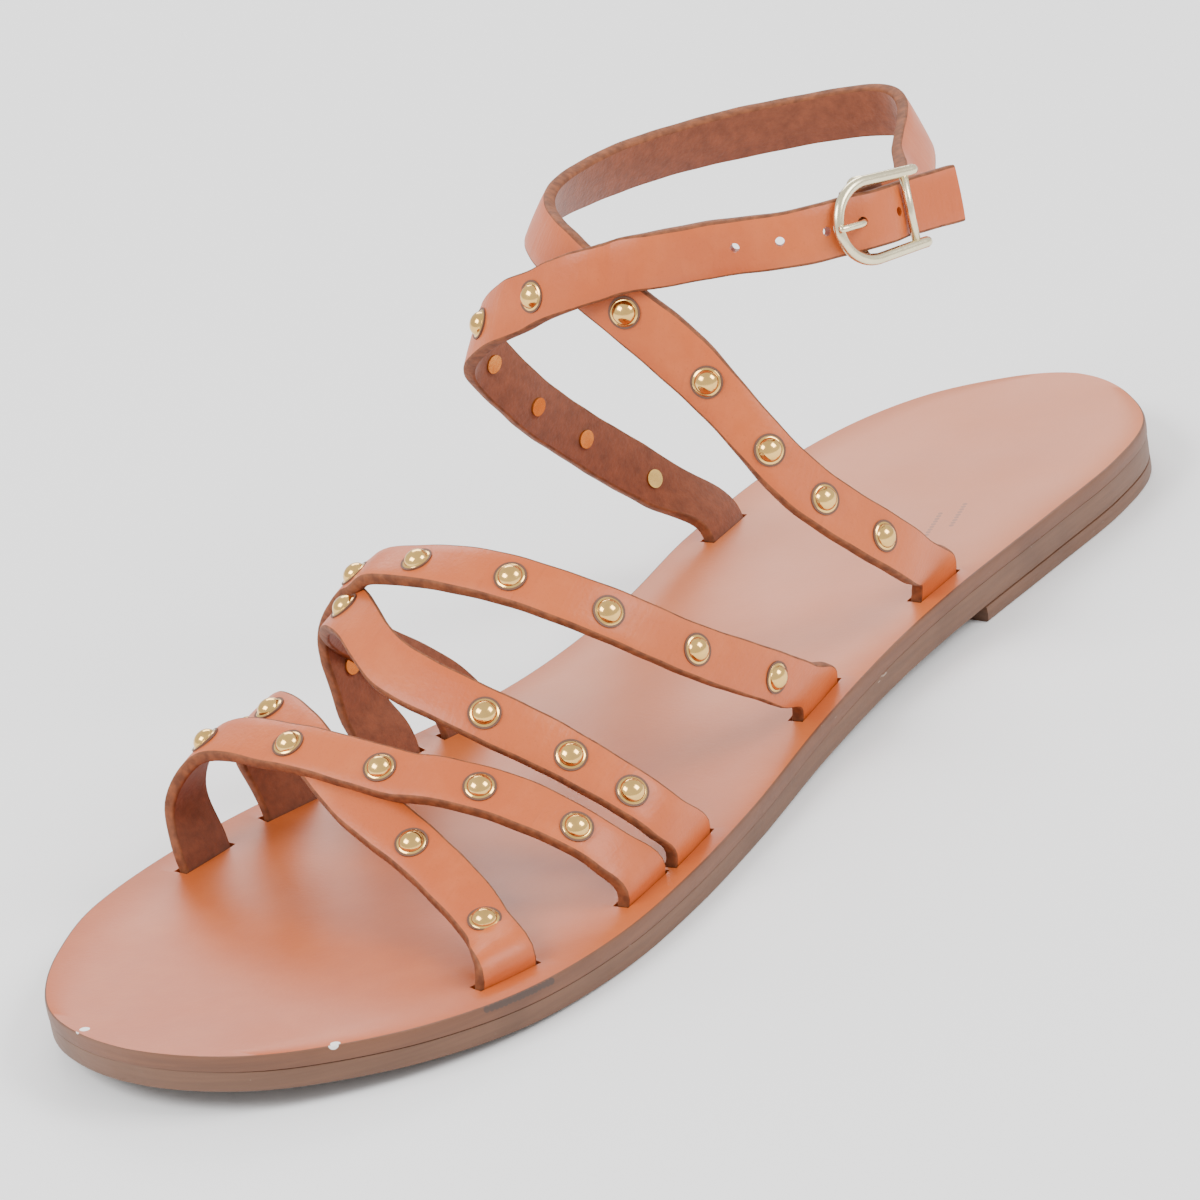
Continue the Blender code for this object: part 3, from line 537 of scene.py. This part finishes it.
class Strap:
    """A flat strap lofted through knots, with its free part between two hidden tails."""

    def __init__(self, side, knots, width, start=(), end=()):
        self.side = side
        self.set_widths(knots, width)
        spans = [(b.point - a.point).length for a, b in zip(knots, knots[1:])]
        times = [sum(spans[:index]) for index in range(len(knots))]
        rows = [max(1, round(span / FINE_PITCH)) for span in spans]
        middle = [spline(times, values, rows) for values in ([knot.point for knot in knots],
                                                             [knot.across * knot.half for knot in knots],
                                                             [knot.thickness for knot in knots])]
        ends = ([knot.point for knot in start], [knot.across * knot.half for knot in start],
                [knot.thickness for knot in start])
        tails = ([knot.point for knot in end], [knot.across * knot.half for knot in end],
                 [knot.thickness for knot in end])
        self.line, self.across, self.thickness = (a + b + c for a, b, c in zip(ends, middle, tails))
        self.first = len(start)
        self.last = len(self.line) - 1 - len(end)
        self.set_normals()

    def set_widths(self, knots, width):
        """Widen the rows that run askew, so that the strap keeps its own width."""
        for back, knot, front in zip(knots[:1] + knots, knots, knots[1:] + knots[-1:]):
            if knot.half is None:
                way = (front.point - back.point).normalized()
                square = (knot.across - way * knot.across.dot(way)).length
                knot.half = width / 2 / square

    def set_normals(self):
        self.normals = []
        for index, here in enumerate(self.line):
            way = Vector()
            if index:
                way += (here - self.line[index - 1]).normalized()
            if index < len(self.line) - 1:
                way += (self.line[index + 1] - here).normalized()
            self.normals.append(way.cross(self.across[index]).normalized() * self.side)

    def rest_on(self, under):
        """Lay the strap on another one where they cross, sunk by JOIN_DEPTH so that they join."""
        free = range(self.first, self.last + 1)
        whole = under.length_to(under.last)
        below = [j for j in range(under.first, under.last) if under.length_to(j) < 0.8 * whole]
        _, crossing = min(((self.line[i] - under.line[j]).length, i) for i in free for j in below)
        middle = self.length_to(crossing)
        for index in free:
            point = self.line[index]
            near = min(below, key=lambda j: (under.line[j] - point).length)
            normal = under.normals[near]
            away = point - (under.line[near] + normal * STRAP_THICKNESS)
            aside = abs(away.dot(under.across[near].normalized())) / STRAP_WIDTH
            along = abs(self.length_to(index) - middle) / CROSSING_REACH
            ends = min(self.length_to(index), self.length_to(self.last) - self.length_to(index))
            share = (smooth_step(1.9 - 1.3 * aside) * smooth_step(3 - 3 * along)
                     * smooth_step(ends / STRAP_WIDTH - 0.5))
            drop = min(max(away.dot(normal) + JOIN_DEPTH, -SETTLE), SETTLE)
            self.line[index] = point - normal * drop * share
            flat = self.across[index] - normal * self.across[index].dot(normal)
            self.across[index] = self.across[index].lerp(flat, share)
        self.set_normals()

    def build(self, name, width):
        """Loft with rounded edges, a slight crown and edges that waver as hand-cut leather does."""
        bm = bmesh.new()
        sheet = bm.loops.layers.uv.new("along")
        rings, spots = [], []
        walked = 0.0
        for index, (point, half, normal, depth) in enumerate(zip(self.line, self.across, self.normals,
                                                                 self.thickness)):
            if index:
                walked += (point - self.line[index - 1]).length
            reach = walked / MM
            wide = half.length * (1 + 0.012 * math.sin(0.27 * reach + 7 * width / MM)
                                  + 0.007 * math.sin(0.83 * reach))
            sideways = half.normalized()
            bend = min(0.4 * MM, 0.3 * depth)
            crown = 0.14 * MM
            section = [(-wide + bend, 0), (0, 0), (wide - bend, 0), (wide - 0.3 * bend, 0.3 * bend),
                       (wide, bend), (wide, depth - bend), (wide - 0.3 * bend, depth - 0.3 * bend),
                       (wide - bend, depth), (0.5 * wide, depth + 0.75 * crown), (0, depth + crown),
                       (-0.5 * wide, depth + 0.75 * crown), (-wide + bend, depth),
                       (-wide + 0.3 * bend, depth - 0.3 * bend), (-wide, depth - bend), (-wide, bend),
                       (-wide + 0.3 * bend, 0.3 * bend)]
            rings.append([bm.verts.new(point + sideways * u + normal * v) for u, v in section])
            spots.append([(walked * 10, u * 10) for u, v in section])
        count = len(rings[0])
        for row in range(len(rings) - 1):
            for index in range(count):
                after = (index + 1) % count
                corners = [(row, index), (row, after), (row + 1, after), (row + 1, index)]
                face = bm.faces.new([rings[a][b] for a, b in corners])
                for loop, (a, b) in zip(face.loops, corners):
                    loop[sheet].uv = spots[a][b]
                face.material_index = 2 if index < 2 else 0 if 7 <= index < 11 else 1
                face.smooth = True
        for ring in (rings[0], rings[-1]):
            bm.faces.new(ring).material_index = 1
        bmesh.ops.recalc_face_normals(bm, faces=bm.faces)
        made = new_object(name, bm, [strap_face, strap_edge, strap_back])
        made.data.set_sharp_from_angle(angle=math.radians(50))
        return made

    def length_to(self, index):
        pairs = zip(self.line[self.first:index], self.line[self.first + 1:index + 1])
        return sum((b - a).length for a, b in pairs)

    def frame_at(self, distance):
        """Matrix on the inner face at a distance from the first slot: X along, Y across, Z outward."""
        index = self.first
        while index < self.last - 1 and self.length_to(index + 1) < distance:
            index += 1
        here, there = self.line[index], self.line[index + 1]
        share = (distance - self.length_to(index)) / (there - here).length
        normal = self.normals[index].lerp(self.normals[index + 1], share).normalized()
        way = (there - here).normalized()
        way = (way - normal * way.dot(normal)).normalized()
        return basis(here.lerp(there, share), way, normal.cross(way), normal)

    def stud_frames(self, shares):
        whole = self.length_to(self.last)
        return [self.frame_at(share * whole) for share in shares]

    def distance_near(self, point):
        """Distance from the first slot to the spot nearest to a point."""
        whole = self.length_to(self.last)
        return min((whole * step / 400 for step in range(401)),
                   key=lambda distance: (self.frame_at(distance).translation - point).length)


def slotted_strap(name, route, arch):
    """A strap with both ends in slots, from the outer side to the inner side."""
    start, rise = slot_knots(name, OUTER)
    end, fall = slot_knots(name, INNER)
    knots = rise + route_knots(route, arch) + fall[::-1]
    return Strap(OUTER, knots, STRAP_WIDTH, start, end[::-1])


def strap_look(name, tint, gloss):
    """Grain side of a strap: mottled tan, fine pores, faint creases across with painted shade in them, and
    paler pink patches that are painted highlights.
    """
    look = Look(name, gloss)
    along = look.node("ShaderNodeUVMap", uv_map="along").outputs["UV"]
    cloudy = look.span(look.noise(45, 4), 0.3, 0.72)
    base = look.mix(cloudy, tint, tuple(value * share for value, share in zip(tint, (0.92, 0.78, 0.68))))
    # Paler pink patches at random: painted highlights on the grain.
    pink = look.span(look.noise(120, 4, roughness=0.6), 0.5, 0.8)
    base = look.mix(look.maths("MULTIPLY", pink, 0.4), base, (0.64, 0.165, 0.050))
    pores = look.span(look.noise(2600, 2), 0.60, 0.75)
    base = look.mix(look.maths("MULTIPLY", pores, 0.22), base, (0.28, 0.055, 0.010))
    # The creases are drawn darker: painted shade in the folds, on top of their bump.
    creases = look.node("ShaderNodeTexNoise", Scale=14.0, Detail=3.0)
    stretched = look.node("ShaderNodeMapping", Scale=(6, 0.8, 1))
    look.link(along, stretched.inputs["Vector"])
    look.link(stretched.outputs["Vector"], creases.inputs["Vector"])
    folds = look.span(creases.outputs["Fac"], 0.62, 0.72)
    base = look.mix(look.maths("MULTIPLY", folds, 0.16), base, (0.34, 0.065, 0.012))
    look.colour(base)
    look.roughness(look.noise(90, 3), gloss - 0.06, gloss + 0.08)
    look.bump(look.maths("ADD", look.noise(1700, 4), look.maths("MULTIPLY", creases.outputs["Fac"], 1.6)),
              0.07 * MM, 0.7)
    return look.material


def raw_edge_look():
    look = Look("raw_edge", 0.75)
    fibres = look.span(look.noise(700, 4), 0.35, 0.7)
    look.colour(look.mix(fibres, (0.13, 0.035, 0.009), (0.26, 0.075, 0.022)))
    look.bump(look.noise(1300, 4), 0.12 * MM, 0.8)
    return look.material


def suede_look():
    look = Look("strap_back", 0.9)
    nap = look.span(look.noise(520, 5, roughness=0.65), 0.3, 0.75)
    look.colour(look.mix(nap, (0.15, 0.038, 0.013), (0.26, 0.070, 0.026)))
    look.shader.inputs["Sheen Weight"].default_value = 0.3
    look.bump(look.noise(1500, 5), 0.15 * MM, 0.8)
    return look.material


strap_face = strap_look("strap_leather", (0.54, 0.115, 0.022), 0.42)
strap_edge = raw_edge_look()
strap_back = suede_look()


def finish_strap(piece, node):
    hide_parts(node)
    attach(piece, "root")


# Toe straps
# Two straps over the toes: a short one from the outer front slot, and the ball strap that
# lies over it. Both end on the inner side, where they cross.
TOE_ROUTE = [
    ("station", "side", "rise", "lean"),
    (0.810, 0.61, 0.188, 10),
    (0.785, 0.29, 0.45, 23),
    (0.766, -0.13, 0.79, 27),
    (0.743, -0.40, 0.98, 23),
    (0.718, -0.68, 0.97, 12),
    (0.696, -0.88, 0.56, 5),
]
BALL_ROUTE = [
    ("station", "side", "rise", "lean"),
    (0.720, 0.75, 0.31, 11),
    (0.735, 0.47, 0.69, 19),
    (0.754, 0.05, 0.93, 26),
    (0.757, -0.40, 1.02, 22),
    (0.753, -0.79, 0.87, 13),
    (0.756, -0.93, 0.45, 5),
]
toe = slotted_strap("toe", TOE_ROUTE, TOE_ARCH)
ball = slotted_strap("ball", BALL_ROUTE, TOE_ARCH)
ball.rest_on(toe)
finish_strap(toe.build("toe_strap", STRAP_WIDTH), "toe_straps")
finish_strap(ball.build("ball_strap", 1.3 * STRAP_WIDTH), "toe_straps")

# Instep straps
# Two longer straps from the outer side over the instep. The rear one bows up clear of the
# front one and crosses over it low on the inner side.
FRONT_INSTEP_ROUTE = [
    ("station", "side", "rise", "lean"),
    (0.675, 0.78, 0.198, 13),
    (0.690, 0.47, 0.47, 33),
    (0.704, 0.16, 0.67, 38),
    (0.699, -0.17, 0.78, 31),
    (0.667, -0.46, 0.86, 19),
    (0.622, -0.73, 0.62, 5),
]
REAR_INSTEP_ROUTE = [
    ("station", "side", "rise", "lean"),
    (0.506, 0.65, 0.24, 15),
    (0.579, 0.58, 0.60, 25),
    (0.622, 0.40, 0.88, 29),
    (0.639, 0.10, 1.02, 26),
    (0.643, -0.26, 1.03, 14),
    (0.636, -0.61, 0.91, 2),
    (0.622, -0.78, 0.56, -1),
]
front_instep = slotted_strap("front_instep", FRONT_INSTEP_ROUTE, INSTEP_ARCH)
rear_instep = slotted_strap("rear_instep", REAR_INSTEP_ROUTE, INSTEP_ARCH)
rear_instep.rest_on(front_instep)
finish_strap(front_instep.build("front_instep_strap", 0.7 * STRAP_WIDTH), "instep_straps")
finish_strap(rear_instep.build("rear_instep_strap", 1.7 * STRAP_WIDTH), "instep_straps")

# Ankle straps
# The heel strap rises from the outer slot, runs round the heel and folds over the buckle's
# centre bar. The closing strap rises from the inner slot, crosses it and ends past the buckle.
BUCKLE_STATION, BUCKLE_SIDE, BUCKLE_RISE = 0.341, 22.7 * MM, 0.987
BUCKLE_TURN, BUCKLE_DROP, BUCKLE_LEAN = math.radians(11), math.radians(8.5), math.radians(13)
FRAME_REACH, ARM_OVERRUN, FRAME_LIFT = 7.7 * MM, 2.2 * MM, 6.2 * MM
FRAME_OPENING, FRAME_FRONT_OPENING = 9.8 * MM, 10.6 * MM
FRAME_WIRE, BACK_BAR, CENTRE_BAR = 1.8 * MM, 1.4 * MM, 1.6 * MM
PRONG_WIRE, PRONG_HOLE = 1.1 * MM, 1.8 * MM
HOLE_DIAMETER, HOLE_PITCH, HOLES_IN_FRONT = 1.5 * MM, 6.8 * MM, 3
FOLD_TAB, FOLD_SHIFT = 5.5 * MM, 0.5 * MM
LOOP_RADIUS = CENTRE_BAR / 2 + LAYER_GAP + SKIVED_THICKNESS
ARM_HEIGHT = FRAME_OPENING / 2 + FRAME_WIRE / 2
FRONT_HEIGHT = FRAME_FRONT_OPENING / 2 + FRAME_WIRE / 2
HEEL_SIDE_ROUTE = [
    ("station", "side", "rise", "lean", "flare"),
    (0.370, 0.67, 0.211, 27, 9),
    (0.431, 0.48, 0.494, 43, 1),
    (0.442, 0.21, 0.748, 64, -10),
    (0.446, -0.25, 0.987, 71, -19),
    (0.397, -0.60, 1.005, 76, -29),
    (0.309, -0.72, 0.976, 88, -22),
    (0.204, -0.44, 0.957, 94, -14),
    (0.163, -0.01, 0.968, 101, 8),
    (0.246, 0.39, 0.960, 97, 26),
]
CLOSING_ROUTE = [
    ("station", "side", "rise", "lean", "flare"),
    (0.313, -0.68, 0.21, 25, 0),
    (0.365, -0.75, 0.40, 40, -5),
    (0.416, -0.75, 0.59, 50, -8),
    (0.451, -0.73, 0.771, 60, -10),
    (0.467, -0.49, 0.899, 65, -10),
    (0.469, -0.22, 0.984, 78, -5),
    (0.416, 0.22, 1.017, 87, 3),
]
CLOSING_END = [
    ("reach", "lift"),
    (-1.45, 0.254),
    (-1.00, 0.425),
    (-0.68, 0.49),
    (-0.33, 0.60),
    (0.00, 0.75),
    (0.33, 0.745),
    (0.70, 0.615),
    (1.00, 0.49),
    (1.40, 0.45),
    (2.60, 0.51),
]


def buckle_axes():
    """Along the strap to the heel, outward and upward, for a frame that leans in at its top."""
    along = Vector((math.sin(BUCKLE_TURN) * math.cos(BUCKLE_DROP),
                    math.cos(BUCKLE_TURN) * math.cos(BUCKLE_DROP),
                    -math.sin(BUCKLE_DROP)))
    level = Vector((math.cos(BUCKLE_TURN), -math.sin(BUCKLE_TURN), 0))
    outward = level * math.cos(BUCKLE_LEAN) + level.cross(along) * math.sin(BUCKLE_LEAN)
    return along, outward, outward.cross(along)


def buckle_point(reach, lift, height=0.0):
    along, outward, up = buckle_axes()
    origin = place(BUCKLE_STATION, BUCKLE_SIDE, BED + BUCKLE_RISE * ANKLE_RISE)
    return origin + along * reach + outward * lift + up * height


def heel_side_strap():
    """Strap from the outer slot, over the instep and round the heel, folded over the centre bar."""
    start, rise = slot_knots("heel_side", OUTER)
    down = -buckle_axes()[2]
    half = ANKLE_STRAP_WIDTH / 2
    knots = rise + route_knots(HEEL_SIDE_ROUTE, ANKLE_RISE)
    knots.append(Knot(buckle_point(1.1 * FRAME_REACH, 0, FOLD_SHIFT), down, half))
    knots.append(Knot(buckle_point(1.6 * LOOP_RADIUS, 0, FOLD_SHIFT), down, half, SKIVED_THICKNESS))
    for turn in (math.radians(30 * index) for index in range(7)):
        reach, lift = -LOOP_RADIUS * math.sin(turn), LOOP_RADIUS * (1 - math.cos(turn))
        knots.append(Knot(buckle_point(reach, lift, FOLD_SHIFT), down, half, SKIVED_THICKNESS))
    sink = 2 * LOOP_RADIUS - STRAP_THICKNESS - SKIVED_THICKNESS - LAYER_GAP
    for share in (0.4, 1.0):
        lift = 2 * LOOP_RADIUS - sink * share ** 2
        knots.append(Knot(buckle_point(share * FOLD_TAB, lift, FOLD_SHIFT), down, half, SKIVED_THICKNESS))
    return Strap(OUTER, knots, ANKLE_STRAP_WIDTH, start)


def closing_strap():
    """Strap from the inner slot, over the heel strap and through the buckle to its free tip."""
    start, rise = slot_knots("closing", INNER)
    down = -buckle_axes()[2]
    knots = rise + route_knots(CLOSING_ROUTE, ANKLE_RISE)
    for reach, lift in CLOSING_END[1:]:
        knots.append(Knot(buckle_point(reach * FRAME_REACH, lift * FRAME_LIFT), down,
                          ANKLE_STRAP_WIDTH / 2))
    return Strap(INNER, knots, ANKLE_STRAP_WIDTH, start)


heel_side = heel_side_strap()
closing = closing_strap()
closing.rest_on(heel_side)
heel_side_piece = heel_side.build("heel_side_strap", 0.4 * ANKLE_STRAP_WIDTH)
slit = bmesh.new()
along, outward, up = buckle_axes()
add_box(slit, basis(buckle_point(0, 0), along, up, outward),
        (-LOOP_RADIUS - 0.3 * MM, -PRONG_WIRE / 2 - 0.25 * MM, -0.3 * MM),
        (LOOP_RADIUS + 0.3 * MM, PRONG_WIRE / 2 + 0.25 * MM, 2 * LOOP_RADIUS + 0.2 * MM))
cut_out(heel_side_piece, slit, "fold_slit")
closing_piece = closing.build("closing_strap", 1.1 * ANKLE_STRAP_WIDTH)
at_prong = closing.distance_near(buckle_point(-PRONG_HOLE, 0.6 * FRAME_LIFT))
punched = bmesh.new()
for number in range(-HOLES_IN_FRONT, 2):
    radius = HOLE_DIAMETER / 2 if number else PRONG_WIRE / 2 + 0.3 * MM
    bmesh.ops.create_cone(punched, cap_ends=True, segments=20, radius1=radius, radius2=radius,
                          depth=3 * STRAP_THICKNESS,
                          matrix=closing.frame_at(at_prong + number * HOLE_PITCH))
cut_out(closing_piece, punched, "punched_holes")
finish_strap(heel_side_piece, "ankle_straps")
finish_strap(closing_piece, "ankle_straps")

# Studs
# Small brass rivets along the middle of each strap: a domed cap on a narrow rim in front, and
# a flat cap behind. A thin dark ring round each domed cap is painted shadow on the leather.
STUDS = {
    "toe": (0.105, 0.306, 0.71, 0.85),
    "ball": (0.136, 0.29, 0.453, 0.618, 0.79),
    "front_instep": (0.12, 0.205, 0.322, 0.615, 0.85),
    "rear_instep": (0.138, 0.262, 0.376, 0.485, 0.605, 0.715, 0.87),
    "heel_side": (0.11, 0.158, 0.204, 0.259, 0.324),
    "closing": (0.102, 0.208, 0.295, 0.38, 0.456, 0.54),
}


def brass_look(name, colour, stain, gloss):
    """Plated metal, a little darker in its low spots, with fine rubbing marks."""
    look = Look(name, gloss, 1.0)
    cloudy = look.span(look.noise(330, 3), 0.4, 0.75)
    look.colour(look.mix(look.maths("MULTIPLY", cloudy, 0.35), colour, stain))
    look.roughness(look.noise(1400, 4), gloss - 0.05, gloss + 0.12)
    look.bump(look.noise(2400, 2), 0.01 * MM, 0.4)
    return look.material


def stud_tree(brass, ring_shadow):
    """Points with a facing direction become rivets: a flat ring of painted shadow, a rounded rim, a dome
    and a cap behind.
    """
    tree = bpy.data.node_groups.new("rivets", "GeometryNodeTree")
    tree.interface.new_socket("Geometry", in_out="INPUT", socket_type="NodeSocketGeometry")
    tree.interface.new_socket("Geometry", in_out="OUTPUT", socket_type="NodeSocketGeometry")
    sizes = {}
    for label, value in (("Rim radius", 2.45 * MM), ("Rim height", 0.5 * MM), ("Dome radius", 2.0 * MM),
                         ("Dome height", 1.6 * MM), ("Ring radius", 2.62 * MM), ("Cap radius", 1.55 * MM)):
        socket = tree.interface.new_socket(label, in_out="INPUT", socket_type="NodeSocketFloat")
        socket.default_value = value
        sizes[label] = socket.identifier
    source = tree.nodes.new("NodeGroupInput")
    result = tree.nodes.new("NodeGroupOutput")
    join = tree.nodes.new("GeometryNodeJoinGeometry")

    def ball(radius, height, look, rings):
        sphere = tree.nodes.new("GeometryNodeMeshUVSphere")
        sphere.inputs["Segments"].default_value = 28
        sphere.inputs["Rings"].default_value = rings
        sphere.inputs["Radius"].default_value = 1
        shape = tree.nodes.new("ShaderNodeCombineXYZ")
        for axis, label in (("X", radius), ("Y", radius), ("Z", height)):
            tree.links.new(source.outputs[label], shape.inputs[axis])
        scaled = tree.nodes.new("GeometryNodeTransform")
        tree.links.new(sphere.outputs["Mesh"], scaled.inputs["Geometry"])
        tree.links.new(shape.outputs["Vector"], scaled.inputs["Scale"])
        smooth = tree.nodes.new("GeometryNodeSetShadeSmooth")
        tree.links.new(scaled.outputs["Geometry"], smooth.inputs["Geometry"])
        finish = tree.nodes.new("GeometryNodeSetMaterial")
        finish.inputs["Material"].default_value = look
        tree.links.new(smooth.outputs["Geometry"], finish.inputs["Geometry"])
        tree.links.new(finish.outputs["Geometry"], join.inputs["Geometry"])

    def ring(radius, look, thickness, height):
        disc = tree.nodes.new("GeometryNodeMeshCylinder")
        disc.inputs["Vertices"].default_value = 28
        disc.inputs["Depth"].default_value = thickness
        tree.links.new(source.outputs[radius], disc.inputs["Radius"])
        moved = tree.nodes.new("GeometryNodeTransform")
        moved.inputs["Translation"].default_value = (0, 0, height)
        tree.links.new(disc.outputs["Mesh"], moved.inputs["Geometry"])
        finish = tree.nodes.new("GeometryNodeSetMaterial")
        finish.inputs["Material"].default_value = look
        tree.links.new(moved.outputs["Geometry"], finish.inputs["Geometry"])
        tree.links.new(finish.outputs["Geometry"], join.inputs["Geometry"])

    ball("Rim radius", "Rim height", brass, 10)
    ball("Dome radius", "Dome height", brass, 16)
    ring_thickness, cap_thickness, cap_drop = 0.36 * MM, 0.7 * MM, STRAP_THICKNESS + 0.2 * MM
    # The flat dark ring just outside the rim is painted shadow where the stud meets the leather.
    ring("Ring radius", ring_shadow, ring_thickness, 0)
    ring("Cap radius", brass, cap_thickness, -cap_drop)
    facing = tree.nodes.new("GeometryNodeInputNamedAttribute")
    facing.data_type = "FLOAT_VECTOR"
    facing.inputs["Name"].default_value = "facing"
    turn = tree.nodes.new("FunctionNodeAlignRotationToVector")
    turn.axis = "Z"
    tree.links.new(facing.outputs["Attribute"], turn.inputs["Vector"])
    spread = tree.nodes.new("GeometryNodeInstanceOnPoints")
    tree.links.new(source.outputs["Geometry"], spread.inputs["Points"])
    tree.links.new(join.outputs["Geometry"], spread.inputs["Instance"])
    tree.links.new(turn.outputs["Rotation"], spread.inputs["Rotation"])
    real = tree.nodes.new("GeometryNodeRealizeInstances")
    tree.links.new(spread.outputs["Instances"], real.inputs["Geometry"])
    tree.links.new(real.outputs["Geometry"], result.inputs["Geometry"])
    return tree


brass = brass_look("stud_brass", (0.86, 0.54, 0.17), (0.50, 0.26, 0.07), 0.12)
# Dark brown for the painted shadow ring round each stud.
ring_shadow = plain("painted_shadow_ring", (0.13, 0.055, 0.03), 0.6)
rivets = stud_tree(brass, ring_shadow)
for name, strap in (("toe", toe), ("ball", ball), ("front_instep", front_instep),
                    ("rear_instep", rear_instep), ("heel_side", heel_side), ("closing", closing)):
    frames = strap.stud_frames(STUDS[name])
    seats = bpy.data.meshes.new(name + "_studs")
    seats.from_pydata([at @ Vector((0, 0, STRAP_THICKNESS + 0.12 * MM)) for at in frames], [], [])
    facing = seats.attributes.new("facing", "FLOAT_VECTOR", "POINT")
    for index, at in enumerate(frames):
        facing.data[index].vector = at.col[2].to_3d()
    studs = bpy.data.objects.new(name + "_studs", seats)
    bpy.context.scene.collection.objects.link(studs)
    spread = studs.modifiers.new("rivets", "NODES")
    spread.node_group = rivets
    bpy.context.view_layer.update()
    studs.data = bpy.data.meshes.new_from_object(
        studs.evaluated_get(bpy.context.evaluated_depsgraph_get()))
    studs.modifiers.clear()
    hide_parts(*[f"{name}_stud_{number}" for number in range(1, len(frames) + 1)])
    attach(studs, "root")

# Buckle
# A pale gold frame with a rounded front, two arms, a thin back bar and a lower centre bar,
# and a prong curled round the centre bar that rests on the front of the frame.
def wire(name, points, radius, look, widths=None):
    """Closed round wire along points, as a plain mesh."""
    curve = bpy.data.curves.new(name, "CURVE")
    curve.dimensions = "3D"
    curve.bevel_depth = radius
    curve.bevel_resolution = 6
    curve.use_fill_caps = True
    line = curve.splines.new("POLY")
    line.points.add(len(points) - 1)
    for index, point in enumerate(points):
        line.points[index].co = (*point, 1)
        line.points[index].radius = widths[index] if widths else 1
    source = bpy.data.objects.new(name, curve)
    bpy.context.scene.collection.objects.link(source)
    bpy.context.view_layer.update()
    mesh = bpy.data.meshes.new_from_object(source.evaluated_get(bpy.context.evaluated_depsgraph_get()))
    bm = bmesh.new()
    bm.from_mesh(mesh)
    bmesh.ops.remove_doubles(bm, verts=bm.verts, dist=0.00001)
    bmesh.ops.recalc_face_normals(bm, faces=bm.faces)
    for face in bm.faces:
        face.smooth = len(face.verts) < 5
    bpy.data.objects.remove(source, do_unlink=True)
    return new_object(name, bm, [look])


def merged(name, pieces):
    """One mesh of several wires that are cast in one."""
    bm = bmesh.new()
    for piece in pieces:
        bm.from_mesh(piece.data)
    made = new_object(name, bm, list(pieces[0].data.materials))
    for piece in pieces:
        bpy.data.objects.remove(piece, do_unlink=True)
    return made


def rounded(points, radius, steps=6):
    """Run through points with its corners turned on arcs."""
    run = [points[0]]
    for before, corner, after in zip(points, points[1:], points[2:]):
        inward = min(radius, (before - corner).length / 2, (after - corner).length / 2)
        enter = corner + (before - corner).normalized() * inward
        leave = corner + (after - corner).normalized() * inward
        for step in range(steps + 1):
            t = step / steps
            run.append(enter * (1 - t) ** 2 + corner * (2 * t * (1 - t)) + leave * t ** 2)
    return run + [points[-1]]


gold = brass_look("buckle_gold", (0.84, 0.74, 0.50), (0.62, 0.52, 0.32), 0.22)
bow = FRAME_REACH - FRAME_WIRE / 2
arc = [buckle_point(bow * math.cos(turn) - FRAME_WIRE / 2, FRAME_LIFT, FRONT_HEIGHT * math.sin(turn))
       for turn in [math.radians(90 + 5 * step) for step in range(37)]]
tips = [[buckle_point(FRAME_REACH + ARM_OVERRUN * share, FRAME_LIFT, side * ARM_HEIGHT)
         for share in (1.3, 1.22, 1.0, 0.6)] for side in (1, -1)]
frame_run = tips[0] + arc + tips[1][::-1]
frame_widths = [0.35, 0.8, 1, 1] + [1] * len(arc) + [1, 1, 0.8, 0.35]
frame_wire = wire("frame_wire", frame_run, FRAME_WIRE / 2, gold, frame_widths)
back_bar = wire("back_bar", [buckle_point(FRAME_REACH, FRAME_LIFT, side * ARM_HEIGHT) for side in (1, -1)],
                BACK_BAR / 2, gold)
drop = [buckle_point(0, lift, height) for lift, height in (
    (FRAME_LIFT, FRONT_HEIGHT), (LOOP_RADIUS, FRONT_HEIGHT), (LOOP_RADIUS, -FRONT_HEIGHT),
    (FRAME_LIFT, -FRONT_HEIGHT))]
centre_bar = wire("centre_bar", rounded(drop, CENTRE_BAR), CENTRE_BAR / 2, gold)
buckle = merged("buckle_frame_piece", [frame_wire, back_bar, centre_bar])
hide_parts("buckle_frame")
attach(buckle, "root")

prong_hole = closing.frame_at(at_prong)
ring = CENTRE_BAR / 2 + LAYER_GAP + PRONG_WIRE / 2
prong_run = [buckle_point(ring * math.cos(turn), LOOP_RADIUS + ring * math.sin(turn))
             for turn in [math.radians(90 - 15 * step) for step in range(19)]]
over = FRAME_LIFT + FRAME_WIRE / 2 + 0.1 * MM + PRONG_WIRE / 2
bent = [prong_run[-1]] + [prong_hole @ Vector((0, 0, depth * STRAP_THICKNESS)) for depth in (-0.2, 1.2)]
bent += [buckle_point(reach * FRAME_REACH, lift * over)
         for reach, lift in ((-0.5, 1.02), (-1.0, 1.0), (-1.14, 0.96))]
prong = wire("buckle_prong_piece", prong_run + rounded(bent, 2.2 * MM)[1:], PRONG_WIRE / 2, gold)
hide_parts("buckle_prong")
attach(prong, "root")
